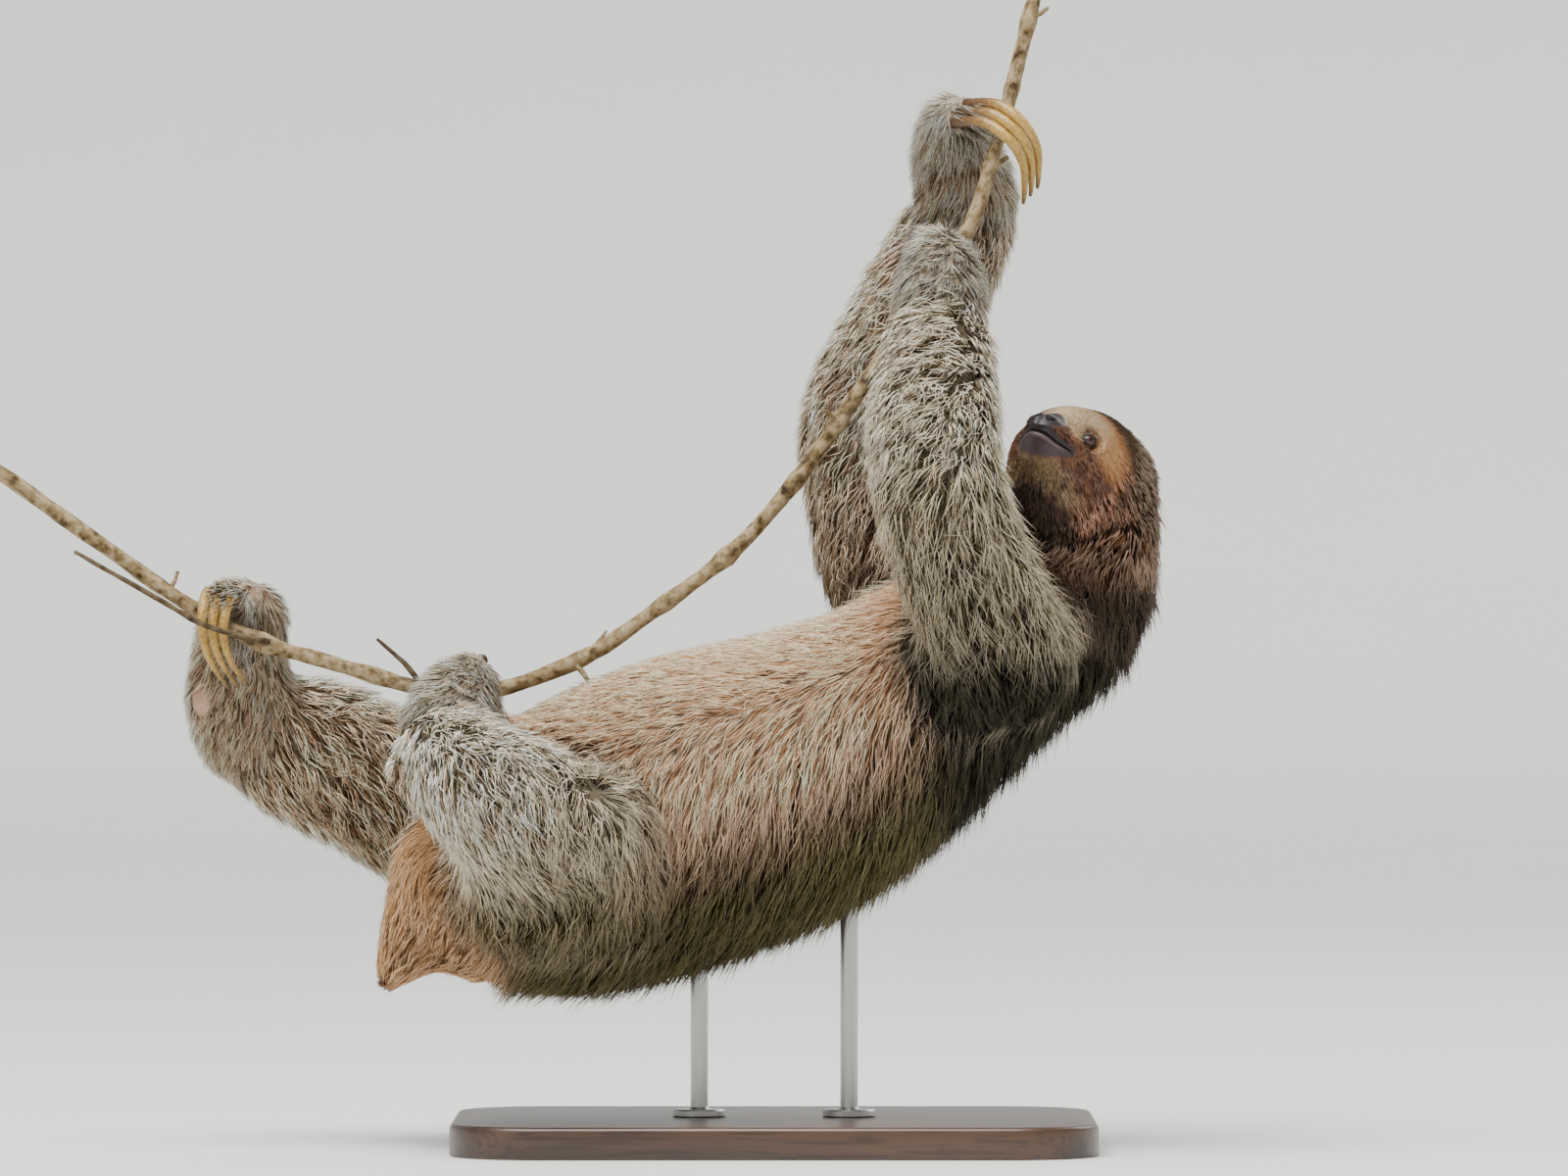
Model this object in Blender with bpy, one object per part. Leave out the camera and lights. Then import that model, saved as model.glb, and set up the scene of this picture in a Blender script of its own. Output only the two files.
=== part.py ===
"""A three-toed sloth that climbs belly up along a thin vine, life size, on a plain display stand.

Units are metres and +Z is up. X runs from the tail (-X) to the head (+X). The animal hangs upside
down, so its left limbs are on the -Y side and its right limbs on the +Y side. The origin is the
middle of the stand's underside.

The animal is one smooth form out to the tips of its coat: beads along its trunk, neck, tail and
limbs, and ellipsoids for its head, joined by a voxel remesh. Closed sleeves and drums then take
its parts from it one by one, and the claws, eyes, vine and rods get their sockets.
"""

from collections import namedtuple
from math import ceil, pi

import bmesh
import bpy
from mathutils import Matrix, Vector

# ---------------------------------------------------------------- driving dimensions
GAP = 0.0003  # clearance between pieces that touch
VOXEL = 0.0034  # grid of the remesh that joins the body's forms
HEAD_VOXEL = 0.0022
SMOOTHING = 8  # passes of smoothing after a remesh
BODY_TRIANGLES = 1880  # what the joined forms are thinned to
HEAD_TRIANGLES = 1000
BEADS_PER_STATION = 6
FLAT = 0.02  # faces that turn by less than this many radians are one
SLEEVE_SIDES, SLEEVE_RINGS, DRUM_SIDES = 16, 2, 32
SLEEVE_SCALE, SLEEVE_MARGIN = 1.2, 0.003  # how much wider a sleeve is than its limb

EYE_RADIUS, EYE_SEGMENTS, EYE_BANDS, HOLLOW_SIDES = 0.0052, 12, 8, 12
CLAW_RADIUS, CLAW_TIP_RADIUS = 0.0028, 0.0008
VINE_RADIUS, VINE_SIDES, VINE_STEP = 0.0047, 8, 0.018
TWIG_SIDES, TWIG_STEPS = 6, 3  # rings from one point of a twig's route to the next

BASE_LENGTH, BASE_WIDTH, BASE_THICKNESS = 0.36, 0.25, 0.018
BASE_CORNER, BASE_EDGE = 0.05, 0.003
ROD_RADIUS, ROD_SIDES = 0.005, 16
ROD_X = 0.042  # a rod stands this far to each side of the base's middle
ROD_TOPS = {"stand_rod_rear": 0.148, "stand_rod_front": 0.184}
COLLAR_RADIUS, COLLAR_HEIGHT = 0.015, 0.004

# ---------------------------------------------------------------- the body's forms
Station = namedtuple("Station", "place radius width")  # width: the half size along Y


def station(x, y, z, radius, width=None):
    return Station(Vector((x, y, z)), radius, radius if width is None else width)


TRUNK = [
    station(-0.178, 0.000, 0.143, 0.030),
    station(-0.160, 0.000, 0.149, 0.056),
    station(-0.130, 0.000, 0.160, 0.076),
    station(-0.100, 0.000, 0.172, 0.089, 0.082),
    station(-0.050, 0.000, 0.190, 0.093, 0.085),
    station(0.006, 0.000, 0.208, 0.088, 0.083),
    station(0.056, 0.000, 0.234, 0.077, 0.076),
    station(0.100, 0.000, 0.265, 0.067, 0.069),
    station(0.132, 0.000, 0.288, 0.060, 0.062),
    station(0.152, 0.000, 0.304, 0.050, 0.053),
]
NECK = [
    station(0.118, 0.000, 0.276, 0.050),
    station(0.157, 0.000, 0.283, 0.045),
    station(0.164, 0.003, 0.308, 0.046),
    station(0.177, 0.006, 0.335, 0.044),
    station(0.178, 0.008, 0.360, 0.041),
]
TAIL = [
    station(-0.166, 0.000, 0.152, 0.034),
    station(-0.188, 0.000, 0.139, 0.030),
    station(-0.203, 0.000, 0.116, 0.021),
    station(-0.215, 0.000, 0.098, 0.011),
    station(-0.219, 0.000, 0.091, 0.006),
]

# A limb's stations run from inside the trunk to the hand or foot. Joints are places in the list.
Limb = namedtuple("Limb", "side upper lower end stations root elbow wrist")
LIMBS = [
    Limb("left", "upper_arm", "forearm", "hand", [
        station(0.128, -0.035, 0.270, 0.042),
        station(0.130, -0.062, 0.278, 0.041),
        station(0.116, -0.088, 0.306, 0.041),
        station(0.099, -0.112, 0.340, 0.041),
        station(0.088, -0.124, 0.385, 0.041),
        station(0.089, -0.094, 0.425, 0.039),
        station(0.092, -0.060, 0.465, 0.030),
        station(0.093, -0.042, 0.487, 0.026),
        station(0.093, -0.027, 0.501, 0.020),
    ], root=0.6, elbow=4, wrist=6),
    Limb("right", "upper_arm", "forearm", "hand", [
        station(0.112, 0.035, 0.275, 0.043),
        station(0.096, 0.059, 0.292, 0.046),
        station(0.069, 0.082, 0.330, 0.047),
        station(0.055, 0.084, 0.378, 0.042),
        station(0.050, 0.080, 0.410, 0.040),
        station(0.075, 0.070, 0.463, 0.039),
        station(0.099, 0.060, 0.505, 0.037),
        station(0.109, 0.050, 0.533, 0.033),
        station(0.102, 0.034, 0.560, 0.027),
        station(0.100, 0.022, 0.578, 0.0205),
    ], root=0.6, elbow=4, wrist=7),
    Limb("left", "thigh", "shank", "foot", [
        station(-0.128, -0.030, 0.160, 0.058),
        station(-0.125, -0.070, 0.168, 0.052),
        station(-0.113, -0.100, 0.178, 0.042),
        station(-0.146, -0.103, 0.196, 0.043),
        station(-0.172, -0.082, 0.214, 0.037),
        station(-0.183, -0.056, 0.232, 0.030),
        station(-0.178, -0.036, 0.250, 0.026),
        station(-0.172, -0.026, 0.261, 0.022),
    ], root=0.5, elbow=2, wrist=5),
    Limb("right", "thigh", "shank", "foot", [
        station(-0.128, 0.030, 0.160, 0.058),
        station(-0.158, 0.064, 0.172, 0.056),
        station(-0.190, 0.084, 0.185, 0.050),
        station(-0.225, 0.074, 0.205, 0.048),
        station(-0.262, 0.060, 0.222, 0.046),
        station(-0.294, 0.048, 0.235, 0.036),
        station(-0.307, 0.040, 0.252, 0.027),
        station(-0.301, 0.034, 0.283, 0.028),
        station(-0.298, 0.028, 0.298, 0.027),
    ], root=0.5, elbow=2, wrist=5),
]

# The head has axes of its own: forward to the nose, across to the animal's left, up to the crown.
NOSE_TIP = Vector((0.1485, -0.046, 0.4098))
FORWARD = Vector((-0.206, -0.628, 0.751)).normalized()
LEFT = Vector((0.508, 0.587, 0.630)).cross(FORWARD).normalized()
CROWN = FORWARD.cross(LEFT)
HEAD_AXES = Matrix((FORWARD, LEFT, CROWN)).transposed()
HEAD_FORMS = {  # centre from the nose tip, then half sizes, both along the head's axes
    "skull": ((-0.043, 0.000, 0.011), (0.031, 0.0325, 0.0345)),
    "crown": ((-0.058, 0.000, 0.023), (0.034, 0.0385, 0.0365)),
    "jaw": ((-0.037, 0.000, -0.008), (0.0245, 0.0245, 0.017)),
    "cheeks": ((-0.031, 0.000, -0.002), (0.0235, 0.0250, 0.0190)),
    "muzzle": ((-0.0175, 0.000, -0.002), (0.0175, 0.0155, 0.0130)),
    "nape": ((-0.078, 0.000, 0.028), (0.040, 0.0432, 0.0420)),
    "throat": ((-0.058, 0.000, -0.020), (0.028, 0.030, 0.025)),
}
EYE_PLACE = (-0.025, 0.0165, 0.0135)  # the left eye's centre; the right one mirrors it
EYE_AXIS = (0.52, 0.84, -0.08)
EYE_OPENING = (0.0036, 0.0062)  # radii of the hollow in the coat, at the eye and outside

HEAD_DRUM = ((0.174, 0.004, 0.338), (0.05, 0.05, 1.0), 0.072, 0.120)
NECK_DRUM = ((0.160, 0.002, 0.308), (0.45, 0.02, 0.89), 0.068, 0.060)
TAIL_DRUM = ((-0.176, 0.000, 0.146), (-0.72, 0.00, -0.70), 0.055, 0.100)


def head_place(forward, left, crown):
    return NOSE_TIP + HEAD_AXES @ Vector((forward, left, crown))


# ---------------------------------------------------------------- the vine and its twigs
VINE_ROUTE = [
    (-0.441, 0.000, 0.384), (-0.369, 0.000, 0.333), (-0.327, 0.000, 0.304),
    (-0.287, 0.000, 0.284), (-0.253, 0.000, 0.274), (-0.197, 0.000, 0.258),
    (-0.170, 0.000, 0.256), (-0.143, 0.000, 0.261), (-0.104, 0.000, 0.277),
    (-0.071, 0.000, 0.299), (-0.027, 0.000, 0.332), (0.001, 0.000, 0.361),
    (0.028, 0.000, 0.396), (0.050, 0.000, 0.428), (0.077, -0.006, 0.470),
    (0.107, -0.009, 0.512), (0.117, -0.006, 0.537), (0.124, -0.002, 0.561),
    (0.131, 0.004, 0.585), (0.138, 0.008, 0.613), (0.147, 0.010, 0.650),
]
VINE_CUTS = [2, 5, 9, 12, 15]  # points of the route where one length ends and the next begins
TWIGS = {  # route from the vine to the tip, and the radii at both ends
    "vine_twig_long": (
        [(-0.287, -0.0085, 0.2850), (-0.297, -0.0165, 0.2870), (-0.321, -0.0185, 0.2950),
         (-0.346, -0.0130, 0.3090), (-0.392, -0.0100, 0.3350)], 0.0019, 0.0010),
    "vine_twig_short": (
        [(-0.2010, -0.0045, 0.2648), (-0.2080, -0.0040, 0.2730), (-0.2228, -0.0020, 0.2860)],
        0.0020, 0.0010),
}

# ---------------------------------------------------------------- the claws
# The middle claw's route from its root to its tip, and the steps to its neighbours at both ends.
Claws = namedtuple("Claws", "route root_step tip_step")
CLAWS = {
    ("left", "hand"): Claws(
        [(0.0838, -0.028, 0.503), (0.0812, -0.011, 0.5055), (0.0890, 0.0030, 0.4990),
         (0.1025, 0.0045, 0.4895), (0.1110, 0.0005, 0.4835)],
        (0.0040, 0.000, 0.0056), (0.0036, 0.000, 0.0052)),
    ("right", "hand"): Claws(
        [(0.1060, 0.006, 0.5810), (0.1221, -0.0115, 0.5797), (0.1353, -0.0180, 0.5698),
         (0.1430, -0.0160, 0.5566), (0.1441, -0.0090, 0.5434), (0.1436, -0.0030, 0.5341)],
        (0.0036, 0.001, 0.0052), (0.0040, 0.001, 0.0044)),
    ("left", "foot"): Claws(
        [(-0.1705, -0.020, 0.2735), (-0.1705, -0.004, 0.2722), (-0.1705, 0.0100, 0.2600),
         (-0.1705, 0.0100, 0.2440), (-0.1705, 0.0050, 0.2330)],
        (0.0068, 0.000, 0.0006), (0.0052, 0.000, 0.0004)),
    ("right", "foot"): Claws(
        [(-0.3085, 0.0140, 0.3080), (-0.3115, 0.0015, 0.3100), (-0.3138, -0.0095, 0.3010),
         (-0.3141, -0.0118, 0.2871), (-0.3097, -0.0105, 0.2728), (-0.2998, -0.0040, 0.2585)],
        (0.0068, 0.000, -0.0024), (0.0052, -0.001, 0.0010)),
}
CLAW_STEPS = 2  # rings from one point of a claw's route to the next
CLAW_SIDES = 6

# ---------------------------------------------------------------- materials
LOOKS = {  # colour, roughness, metallic value
    "coat_grey": ((0.36, 0.29, 0.22), 0.9, 0.0),
    "coat_belly": ((0.42, 0.28, 0.19), 0.9, 0.0),
    "coat_head": ((0.30, 0.15, 0.08), 0.9, 0.0),
    "coat_neck": ((0.10, 0.06, 0.04), 0.9, 0.0),
    "coat_tail": ((0.32, 0.18, 0.09), 0.9, 0.0),
    "horn": ((0.62, 0.47, 0.28), 0.45, 0.0),
    "eye": ((0.03, 0.012, 0.008), 0.08, 0.0),
    "bark": ((0.46, 0.40, 0.33), 0.85, 0.0),
    "stand_wood": ((0.05, 0.028, 0.016), 0.4, 0.0),
    "stand_steel": ((0.55, 0.55, 0.56), 0.3, 1.0),
}


def material(name):
    made = bpy.data.materials.get(name)
    if made is None:
        colour, roughness, metallic = LOOKS[name]
        made = bpy.data.materials.new(name)
        made.use_nodes = True
        shader = made.node_tree.nodes["Principled BSDF"]
        shader.inputs["Base Color"].default_value = (*colour, 1.0)
        shader.inputs["Roughness"].default_value = roughness
        shader.inputs["Metallic"].default_value = metallic
        made.diffuse_color = (*colour, 1.0)
    return made


# ---------------------------------------------------------------- curves and closed meshes
def along(values, position):
    """The Catmull-Rom value at a position counted in list places."""
    first = min(max(int(position), 0), len(values) - 2)
    t = position - first
    before, start, end, after = (
        values[min(max(first + step, 0), len(values) - 1)] for step in (-1, 0, 1, 2)
    )
    return 0.5 * (
        2 * start
        + t * (end - before)
        + t * t * (2 * before - 5 * start + 4 * end - after)
        + t * t * t * (3 * start - before - 3 * end + after)
    )


def station_at(stations, position):
    places, radii, widths = zip(*stations)
    return Station(*(along(values, position) for values in (places, radii, widths)))


def tangents(places):
    """The direction of a line of places at each of them."""
    ahead = [*places[1:], places[-1]]
    behind = [places[0], *places[:-1]]
    return [(after - before).normalized() for before, after in zip(behind, ahead)]


def tube(bm, places, directions, radii, sides):
    """A closed tube through the places, with flat ends, its rings turned as little as can be."""
    side = None
    rings = []
    for place, tangent, radius in zip(places, directions, radii):
        side = tangent.orthogonal() if side is None else side - tangent * side.dot(tangent)
        side.normalize()
        ring = []
        for step in range(sides):
            turn = Matrix.Rotation(2 * pi * step / sides, 3, tangent)
            ring.append(bm.verts.new(place + turn @ side * radius))
        rings.append(ring)
    for ring, following in zip(rings, rings[1:]):
        for step in range(sides):
            after = (step + 1) % sides
            bm.faces.new((ring[step], ring[after], following[after], following[step]))
    bm.faces.new(reversed(rings[0]))
    bm.faces.new(rings[-1])


def finished(bm):
    """A mesh of the bmesh, its faces turned outwards."""
    bmesh.ops.recalc_face_normals(bm, faces=bm.faces[:])
    mesh = bpy.data.meshes.new("shape")
    bm.to_mesh(mesh)
    bm.free()
    return mesh


def placed(name, mesh, look):
    """A visible object, which becomes a node of this name."""
    mesh.materials.clear()
    mesh.materials.append(material(look))
    mesh.shade_smooth()
    mesh.set_sharp_from_angle(angle=0.7)
    mesh.name = name
    made = bpy.data.objects.new(name, mesh)
    bpy.context.scene.collection.objects.link(made)
    return made


def evaluated(mesh, add_modifiers):
    """The mesh after the modifiers that add_modifiers puts on it."""
    holder = bpy.data.objects.new("holder", mesh)
    bpy.context.scene.collection.objects.link(holder)
    add_modifiers(holder)
    bpy.context.view_layer.update()
    graph = bpy.context.evaluated_depsgraph_get()
    made = bpy.data.meshes.new_from_object(holder.evaluated_get(graph), depsgraph=graph)
    bpy.data.objects.remove(holder)
    return made


def combined(mesh, other, operation):
    """The exact Boolean of two meshes."""
    tool = bpy.data.objects.new("tool", other)
    bpy.context.scene.collection.objects.link(tool)

    def add_modifiers(holder):
        modifier = holder.modifiers.new("cut", "BOOLEAN")
        modifier.operation = operation
        modifier.object = tool
        modifier.solver = "EXACT"

    made = evaluated(mesh, add_modifiers)
    bpy.data.objects.remove(tool)
    return made


def largest_body(mesh):
    """The mesh without the crumbs that a cut leaves, and without edges inside its flats."""
    bm = bmesh.new()
    bm.from_mesh(mesh)
    bmesh.ops.dissolve_limit(bm, angle_limit=FLAT, verts=bm.verts[:], edges=bm.edges[:])
    bmesh.ops.triangulate(bm, faces=bm.faces[:])
    unseen = set(bm.faces)
    bodies = []
    while unseen:
        body = []
        front = [unseen.pop()]
        while front:
            face = front.pop()
            body.append(face)
            for edge in face.edges:
                for beside in edge.link_faces:
                    if beside in unseen:
                        unseen.remove(beside)
                        front.append(beside)
        bodies.append(body)
    kept = set(max(bodies, key=len))
    crumbs = [face for face in bm.faces if face not in kept]
    bmesh.ops.delete(bm, geom=crumbs, context="FACES")
    return finished(bm)


# ---------------------------------------------------------------- the furred body
def add_beads(bm, stations):
    """Overlapping ellipsoids along the stations, close enough that a remesh makes them one tube."""
    steps = BEADS_PER_STATION * (len(stations) - 1)
    for step in range(steps + 1):
        bead = station_at(stations, step / BEADS_PER_STATION)
        shape = Matrix.Diagonal((bead.radius, bead.width, bead.radius, 1.0))
        bmesh.ops.create_icosphere(
            bm, subdivisions=3, radius=1.0, matrix=Matrix.Translation(bead.place) @ shape
        )


def add_head_forms(bm):
    for centre, half_sizes in HEAD_FORMS.values():
        place = Matrix.Translation(head_place(*centre)) @ HEAD_AXES.to_4x4()
        shape = Matrix.Diagonal((*half_sizes, 1.0))
        bmesh.ops.create_icosphere(bm, subdivisions=4, radius=1.0, matrix=place @ shape)


def joined(bm, voxel, triangles):
    """One smooth closed form round all the bmesh's shapes, of about so many triangles."""

    def add_modifiers(holder):
        remesh = holder.modifiers.new("remesh", "REMESH")
        remesh.mode = "VOXEL"
        remesh.voxel_size = voxel
        smooth = holder.modifiers.new("smooth", "SMOOTH")
        smooth.factor = 0.5
        smooth.iterations = SMOOTHING

    dense = evaluated(finished(bm), add_modifiers)

    def add_decimate(holder):
        decimate = holder.modifiers.new("decimate", "DECIMATE")
        decimate.ratio = triangles / (2 * len(dense.polygons))
        decimate.use_collapse_triangulate = True

    return evaluated(dense, add_decimate)


def sleeve(stations, start, end, grow):
    """A convex envelope of a stretch of a limb, wider than the limb, flat where it starts."""
    bm = bmesh.new()
    steps = SLEEVE_RINGS * ceil(end - start)
    for step in range(steps + 1):
        position = start + (end - start) * step / steps
        ring = station_at(stations, position)
        ahead = station_at(stations, position + 0.05).place - ring.place
        behind = ring.place - station_at(stations, position - 0.05).place
        axis = (ahead + behind).normalized()
        place = ring.place
        if step == 0:
            place = place - axis * grow
        elif step == steps:
            place = place + axis * (ring.radius + grow)
        radius = ring.radius * SLEEVE_SCALE + SLEEVE_MARGIN + grow
        turn = axis.to_track_quat("Z", "Y").to_matrix().to_4x4()
        bmesh.ops.create_circle(
            bm, segments=SLEEVE_SIDES, radius=radius, matrix=Matrix.Translation(place) @ turn
        )
    hull = bmesh.ops.convex_hull(bm, input=bm.verts[:], use_existing_faces=False)
    inner = [item for item in hull["geom_interior"] if isinstance(item, bmesh.types.BMVert)]
    bmesh.ops.delete(bm, geom=inner, context="VERTS")
    loose = [edge for edge in bm.edges if not edge.link_faces]
    bmesh.ops.delete(bm, geom=loose, context="EDGES")
    return finished(bm)


def drum(start, towards, radius, length, grow):
    """A closed cylinder from start on, along the direction given."""
    axis = Vector(towards).normalized()
    near = Vector(start) - axis * grow
    bm = bmesh.new()
    ends = [near, near + axis * (length + grow)]
    tube(bm, ends, [axis] * 2, [radius + grow] * 2, DRUM_SIDES)
    return finished(bm)


def part(body, shape_of):
    """The body's share inside a shape, and what is left round it, with the gap between them."""
    share = combined(body.copy(), shape_of(0.0), "INTERSECT")
    rest = combined(body.copy(), shape_of(GAP), "DIFFERENCE")
    return largest_body(share), largest_body(rest)


def make_flesh():
    """The animal's furred parts, by name: (mesh, look)."""
    bm = bmesh.new()
    add_beads(bm, NECK)
    add_head_forms(bm)
    head_and_neck = joined(bm, HEAD_VOXEL, HEAD_TRIANGLES)
    head = combined(head_and_neck, drum(*HEAD_DRUM, grow=0.0), "INTERSECT")

    bm = bmesh.new()
    add_beads(bm, TRUNK)
    add_beads(bm, NECK)
    add_beads(bm, TAIL)
    add_head_forms(bm)
    for limb in LIMBS:
        add_beads(bm, limb.stations)
    body = joined(bm, VOXEL, BODY_TRIANGLES)
    body = largest_body(combined(body, drum(*HEAD_DRUM, grow=GAP), "DIFFERENCE"))

    flesh = {"head": (largest_body(head), "coat_head")}
    for limb in LIMBS:
        last = len(limb.stations) - 1
        stretches = [
            (limb.end, limb.wrist, last),
            (limb.lower, limb.elbow, limb.wrist),
            (limb.upper, limb.root, limb.elbow),
        ]
        for part_name, start, end in stretches:
            share, body = part(body, lambda grow: sleeve(limb.stations, start, end, grow))
            flesh[f"{part_name}_{limb.side}"] = (share, "coat_grey")
    share, body = part(body, lambda grow: drum(*NECK_DRUM, grow=grow))
    flesh["neck"] = (share, "coat_neck")
    share, body = part(body, lambda grow: drum(*TAIL_DRUM, grow=grow))
    flesh["tail"] = (share, "coat_tail")
    flesh["trunk"] = (body, "coat_belly")
    return flesh


# ---------------------------------------------------------------- eyes, claws, vine and stand
def eyes():
    """Each eye by name: (its centre, the direction that it looks in)."""
    made = {}
    for name, side in (("eye_left", 1), ("eye_right", -1)):
        forward, left, crown = EYE_PLACE
        centre = head_place(forward, side * left, crown)
        axis = HEAD_AXES @ Vector((EYE_AXIS[0], side * EYE_AXIS[1], EYE_AXIS[2])).normalized()
        made[name] = (centre, axis)
    return made


def ball(centre, radius):
    bm = bmesh.new()
    bmesh.ops.create_uvsphere(
        bm,
        u_segments=EYE_SEGMENTS,
        v_segments=EYE_BANDS,
        radius=radius,
        matrix=Matrix.Translation(centre),
    )
    bmesh.ops.triangulate(bm, faces=bm.faces[:])
    return finished(bm)


def hollow(centre, axis):
    """The flared opening in the coat in front of an eye."""
    bm = bmesh.new()
    tube(bm, [centre, centre + axis * 3 * EYE_RADIUS], [axis] * 2, EYE_OPENING, HOLLOW_SIDES)
    return finished(bm)


def claw(claws, index, grow):
    """One claw of three: a hook that thins towards its tip."""
    last = len(claws.route) - 1
    steps = CLAW_STEPS * last
    places, radii = [], []
    for step in range(steps + 1):
        share = step / steps
        root_step, tip_step = Vector(claws.root_step), Vector(claws.tip_step)
        aside = root_step.lerp(tip_step, share) * (index - 2)
        places.append(along([Vector(p) for p in claws.route], share * last) + aside)
        radii.append(CLAW_RADIUS + (CLAW_TIP_RADIUS - CLAW_RADIUS) * share**2 + grow)
    directions = tangents(places)
    places[0] = places[0] - directions[0] * grow
    bm = bmesh.new()
    tube(bm, places, directions, radii, CLAW_SIDES)
    return finished(bm)


def vine_length(first, last, grow):
    """The vine from one point of its route to another, short of both by half the gap."""
    route = [Vector(point) for point in VINE_ROUTE]
    count = ceil((route[last] - route[first]).length / VINE_STEP)
    positions = [first + (last - first) * step / count for step in range(count + 1)]
    places = [along(route, position) for position in positions]
    ahead = [along(route, min(position + 0.1, len(route) - 1)) for position in positions]
    behind = [along(route, max(position - 0.1, 0)) for position in positions]
    directions = [(after - before).normalized() for before, after in zip(behind, ahead)]
    places[0] = places[0] + directions[0] * (GAP / 2 - grow)
    places[-1] = places[-1] - directions[-1] * (GAP / 2 - grow)
    bm = bmesh.new()
    tube(bm, places, directions, [VINE_RADIUS + grow] * len(places), VINE_SIDES)
    return finished(bm)


def twig(route, radius, tip_radius, grow):
    """A side shoot of the vine, thinning towards its tip."""
    points = [Vector(point) for point in route]
    steps = TWIG_STEPS * (len(points) - 1)
    places = [along(points, step / TWIG_STEPS) for step in range(steps + 1)]
    radii = [radius + (tip_radius - radius) * step / steps + grow for step in range(steps + 1)]
    directions = tangents(places)
    places[0] = places[0] - directions[0] * grow
    bm = bmesh.new()
    tube(bm, places, directions, radii, TWIG_SIDES)
    return finished(bm)


def stand_base():
    """The flat base, its corners rounded in plan and its top edge eased."""
    bm = bmesh.new()
    bmesh.ops.create_cube(bm, size=1.0)
    size = Matrix.Diagonal((BASE_LENGTH, BASE_WIDTH, BASE_THICKNESS, 1.0))
    bmesh.ops.transform(bm, matrix=size, verts=bm.verts)
    bmesh.ops.translate(bm, vec=(0, 0, BASE_THICKNESS / 2), verts=bm.verts)
    corners = [edge for edge in bm.edges if abs(edge.verts[0].co.z - edge.verts[1].co.z) > 0.001]
    bmesh.ops.bevel(
        bm, geom=corners, offset=BASE_CORNER, segments=6, affect="EDGES", profile=0.5, material=-1
    )
    top = [edge for edge in bm.edges if all(v.co.z > BASE_THICKNESS - 1e-5 for v in edge.verts)]
    bmesh.ops.bevel(
        bm, geom=top, offset=BASE_EDGE, segments=2, affect="EDGES", profile=0.5, material=-1
    )
    return finished(bm)


def rod(x, top, grow):
    """A rod with a collar at its foot. The clearance widens it and lifts its top."""
    low = Vector((x, 0, BASE_THICKNESS + GAP))
    places = [low, low + Vector((0, 0, COLLAR_HEIGHT))]
    places += [places[-1], Vector((x, 0, top + grow))]
    radii = [COLLAR_RADIUS, COLLAR_RADIUS, ROD_RADIUS + grow, ROD_RADIUS + grow]
    bm = bmesh.new()
    rings = []
    for place, radius in zip(places, radii):
        ring = bmesh.ops.create_circle(
            bm, segments=ROD_SIDES, radius=radius, matrix=Matrix.Translation(place)
        )
        rings.append(ring["verts"])
    for ring, following in zip(rings, rings[1:]):
        for step in range(ROD_SIDES):
            after = (step + 1) % ROD_SIDES
            bm.faces.new((ring[step], ring[after], following[after], following[step]))
    bm.faces.new(reversed(rings[0]))
    bm.faces.new(rings[-1])
    return finished(bm)


def main():
    for existing in list(bpy.data.objects):
        bpy.data.objects.remove(existing)

    sockets = []  # what is cut out of the furred parts, as (names, mesh)
    for name, (centre, axis) in eyes().items():
        placed(name, ball(centre, EYE_RADIUS), "eye")
        sockets.append((("head",), ball(centre, EYE_RADIUS + GAP)))
        sockets.append((("head",), hollow(centre, axis)))

    for (side, end), claws in CLAWS.items():
        lower = "forearm" if end == "hand" else "shank"
        for index in (1, 2, 3):
            placed(f"claw_{end}_{side}_{index}", claw(claws, index, 0.0), "horn")
            sockets.append(((f"{end}_{side}", f"{lower}_{side}", "trunk"), claw(claws, index, GAP)))

    cuts = [0, *VINE_CUTS, len(VINE_ROUTE) - 1]
    gripping = [f"{limb.end}_{limb.side}" for limb in LIMBS]
    gripping += [f"{limb.lower}_{limb.side}" for limb in LIMBS]
    for index, (first, last) in enumerate(zip(cuts, cuts[1:]), start=1):
        placed(f"vine_{index}", vine_length(first, last, 0.0), "bark")
        sockets.append((gripping, vine_length(first, last, GAP)))
    for name, (route, radius, tip_radius) in TWIGS.items():
        placed(name, twig(route, radius, tip_radius, 0.0), "bark")
        sockets.append((gripping, twig(route, radius, tip_radius, GAP)))

    placed("stand_base", stand_base(), "stand_wood")
    for (name, top), x in zip(ROD_TOPS.items(), (-ROD_X, ROD_X)):
        placed(name, rod(x, top, 0.0), "stand_steel")
        sockets.append((("trunk",), rod(x, top, GAP)))

    for name, (mesh, look) in make_flesh().items():
        for names, cutter in sockets:
            if name in names:
                mesh = combined(mesh, cutter.copy(), "DIFFERENCE")
        placed(name, largest_body(mesh), look)


main()
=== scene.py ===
"""The finish of a life-size three-toed sloth that climbs along a vine, on a plain display stand."""

from math import cos, pi, radians, sin

import bmesh
import bpy
import numpy as np
from mathutils import Matrix, Vector, noise
from mathutils.bvhtree import BVHTree
from mathutils.kdtree import KDTree


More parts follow.
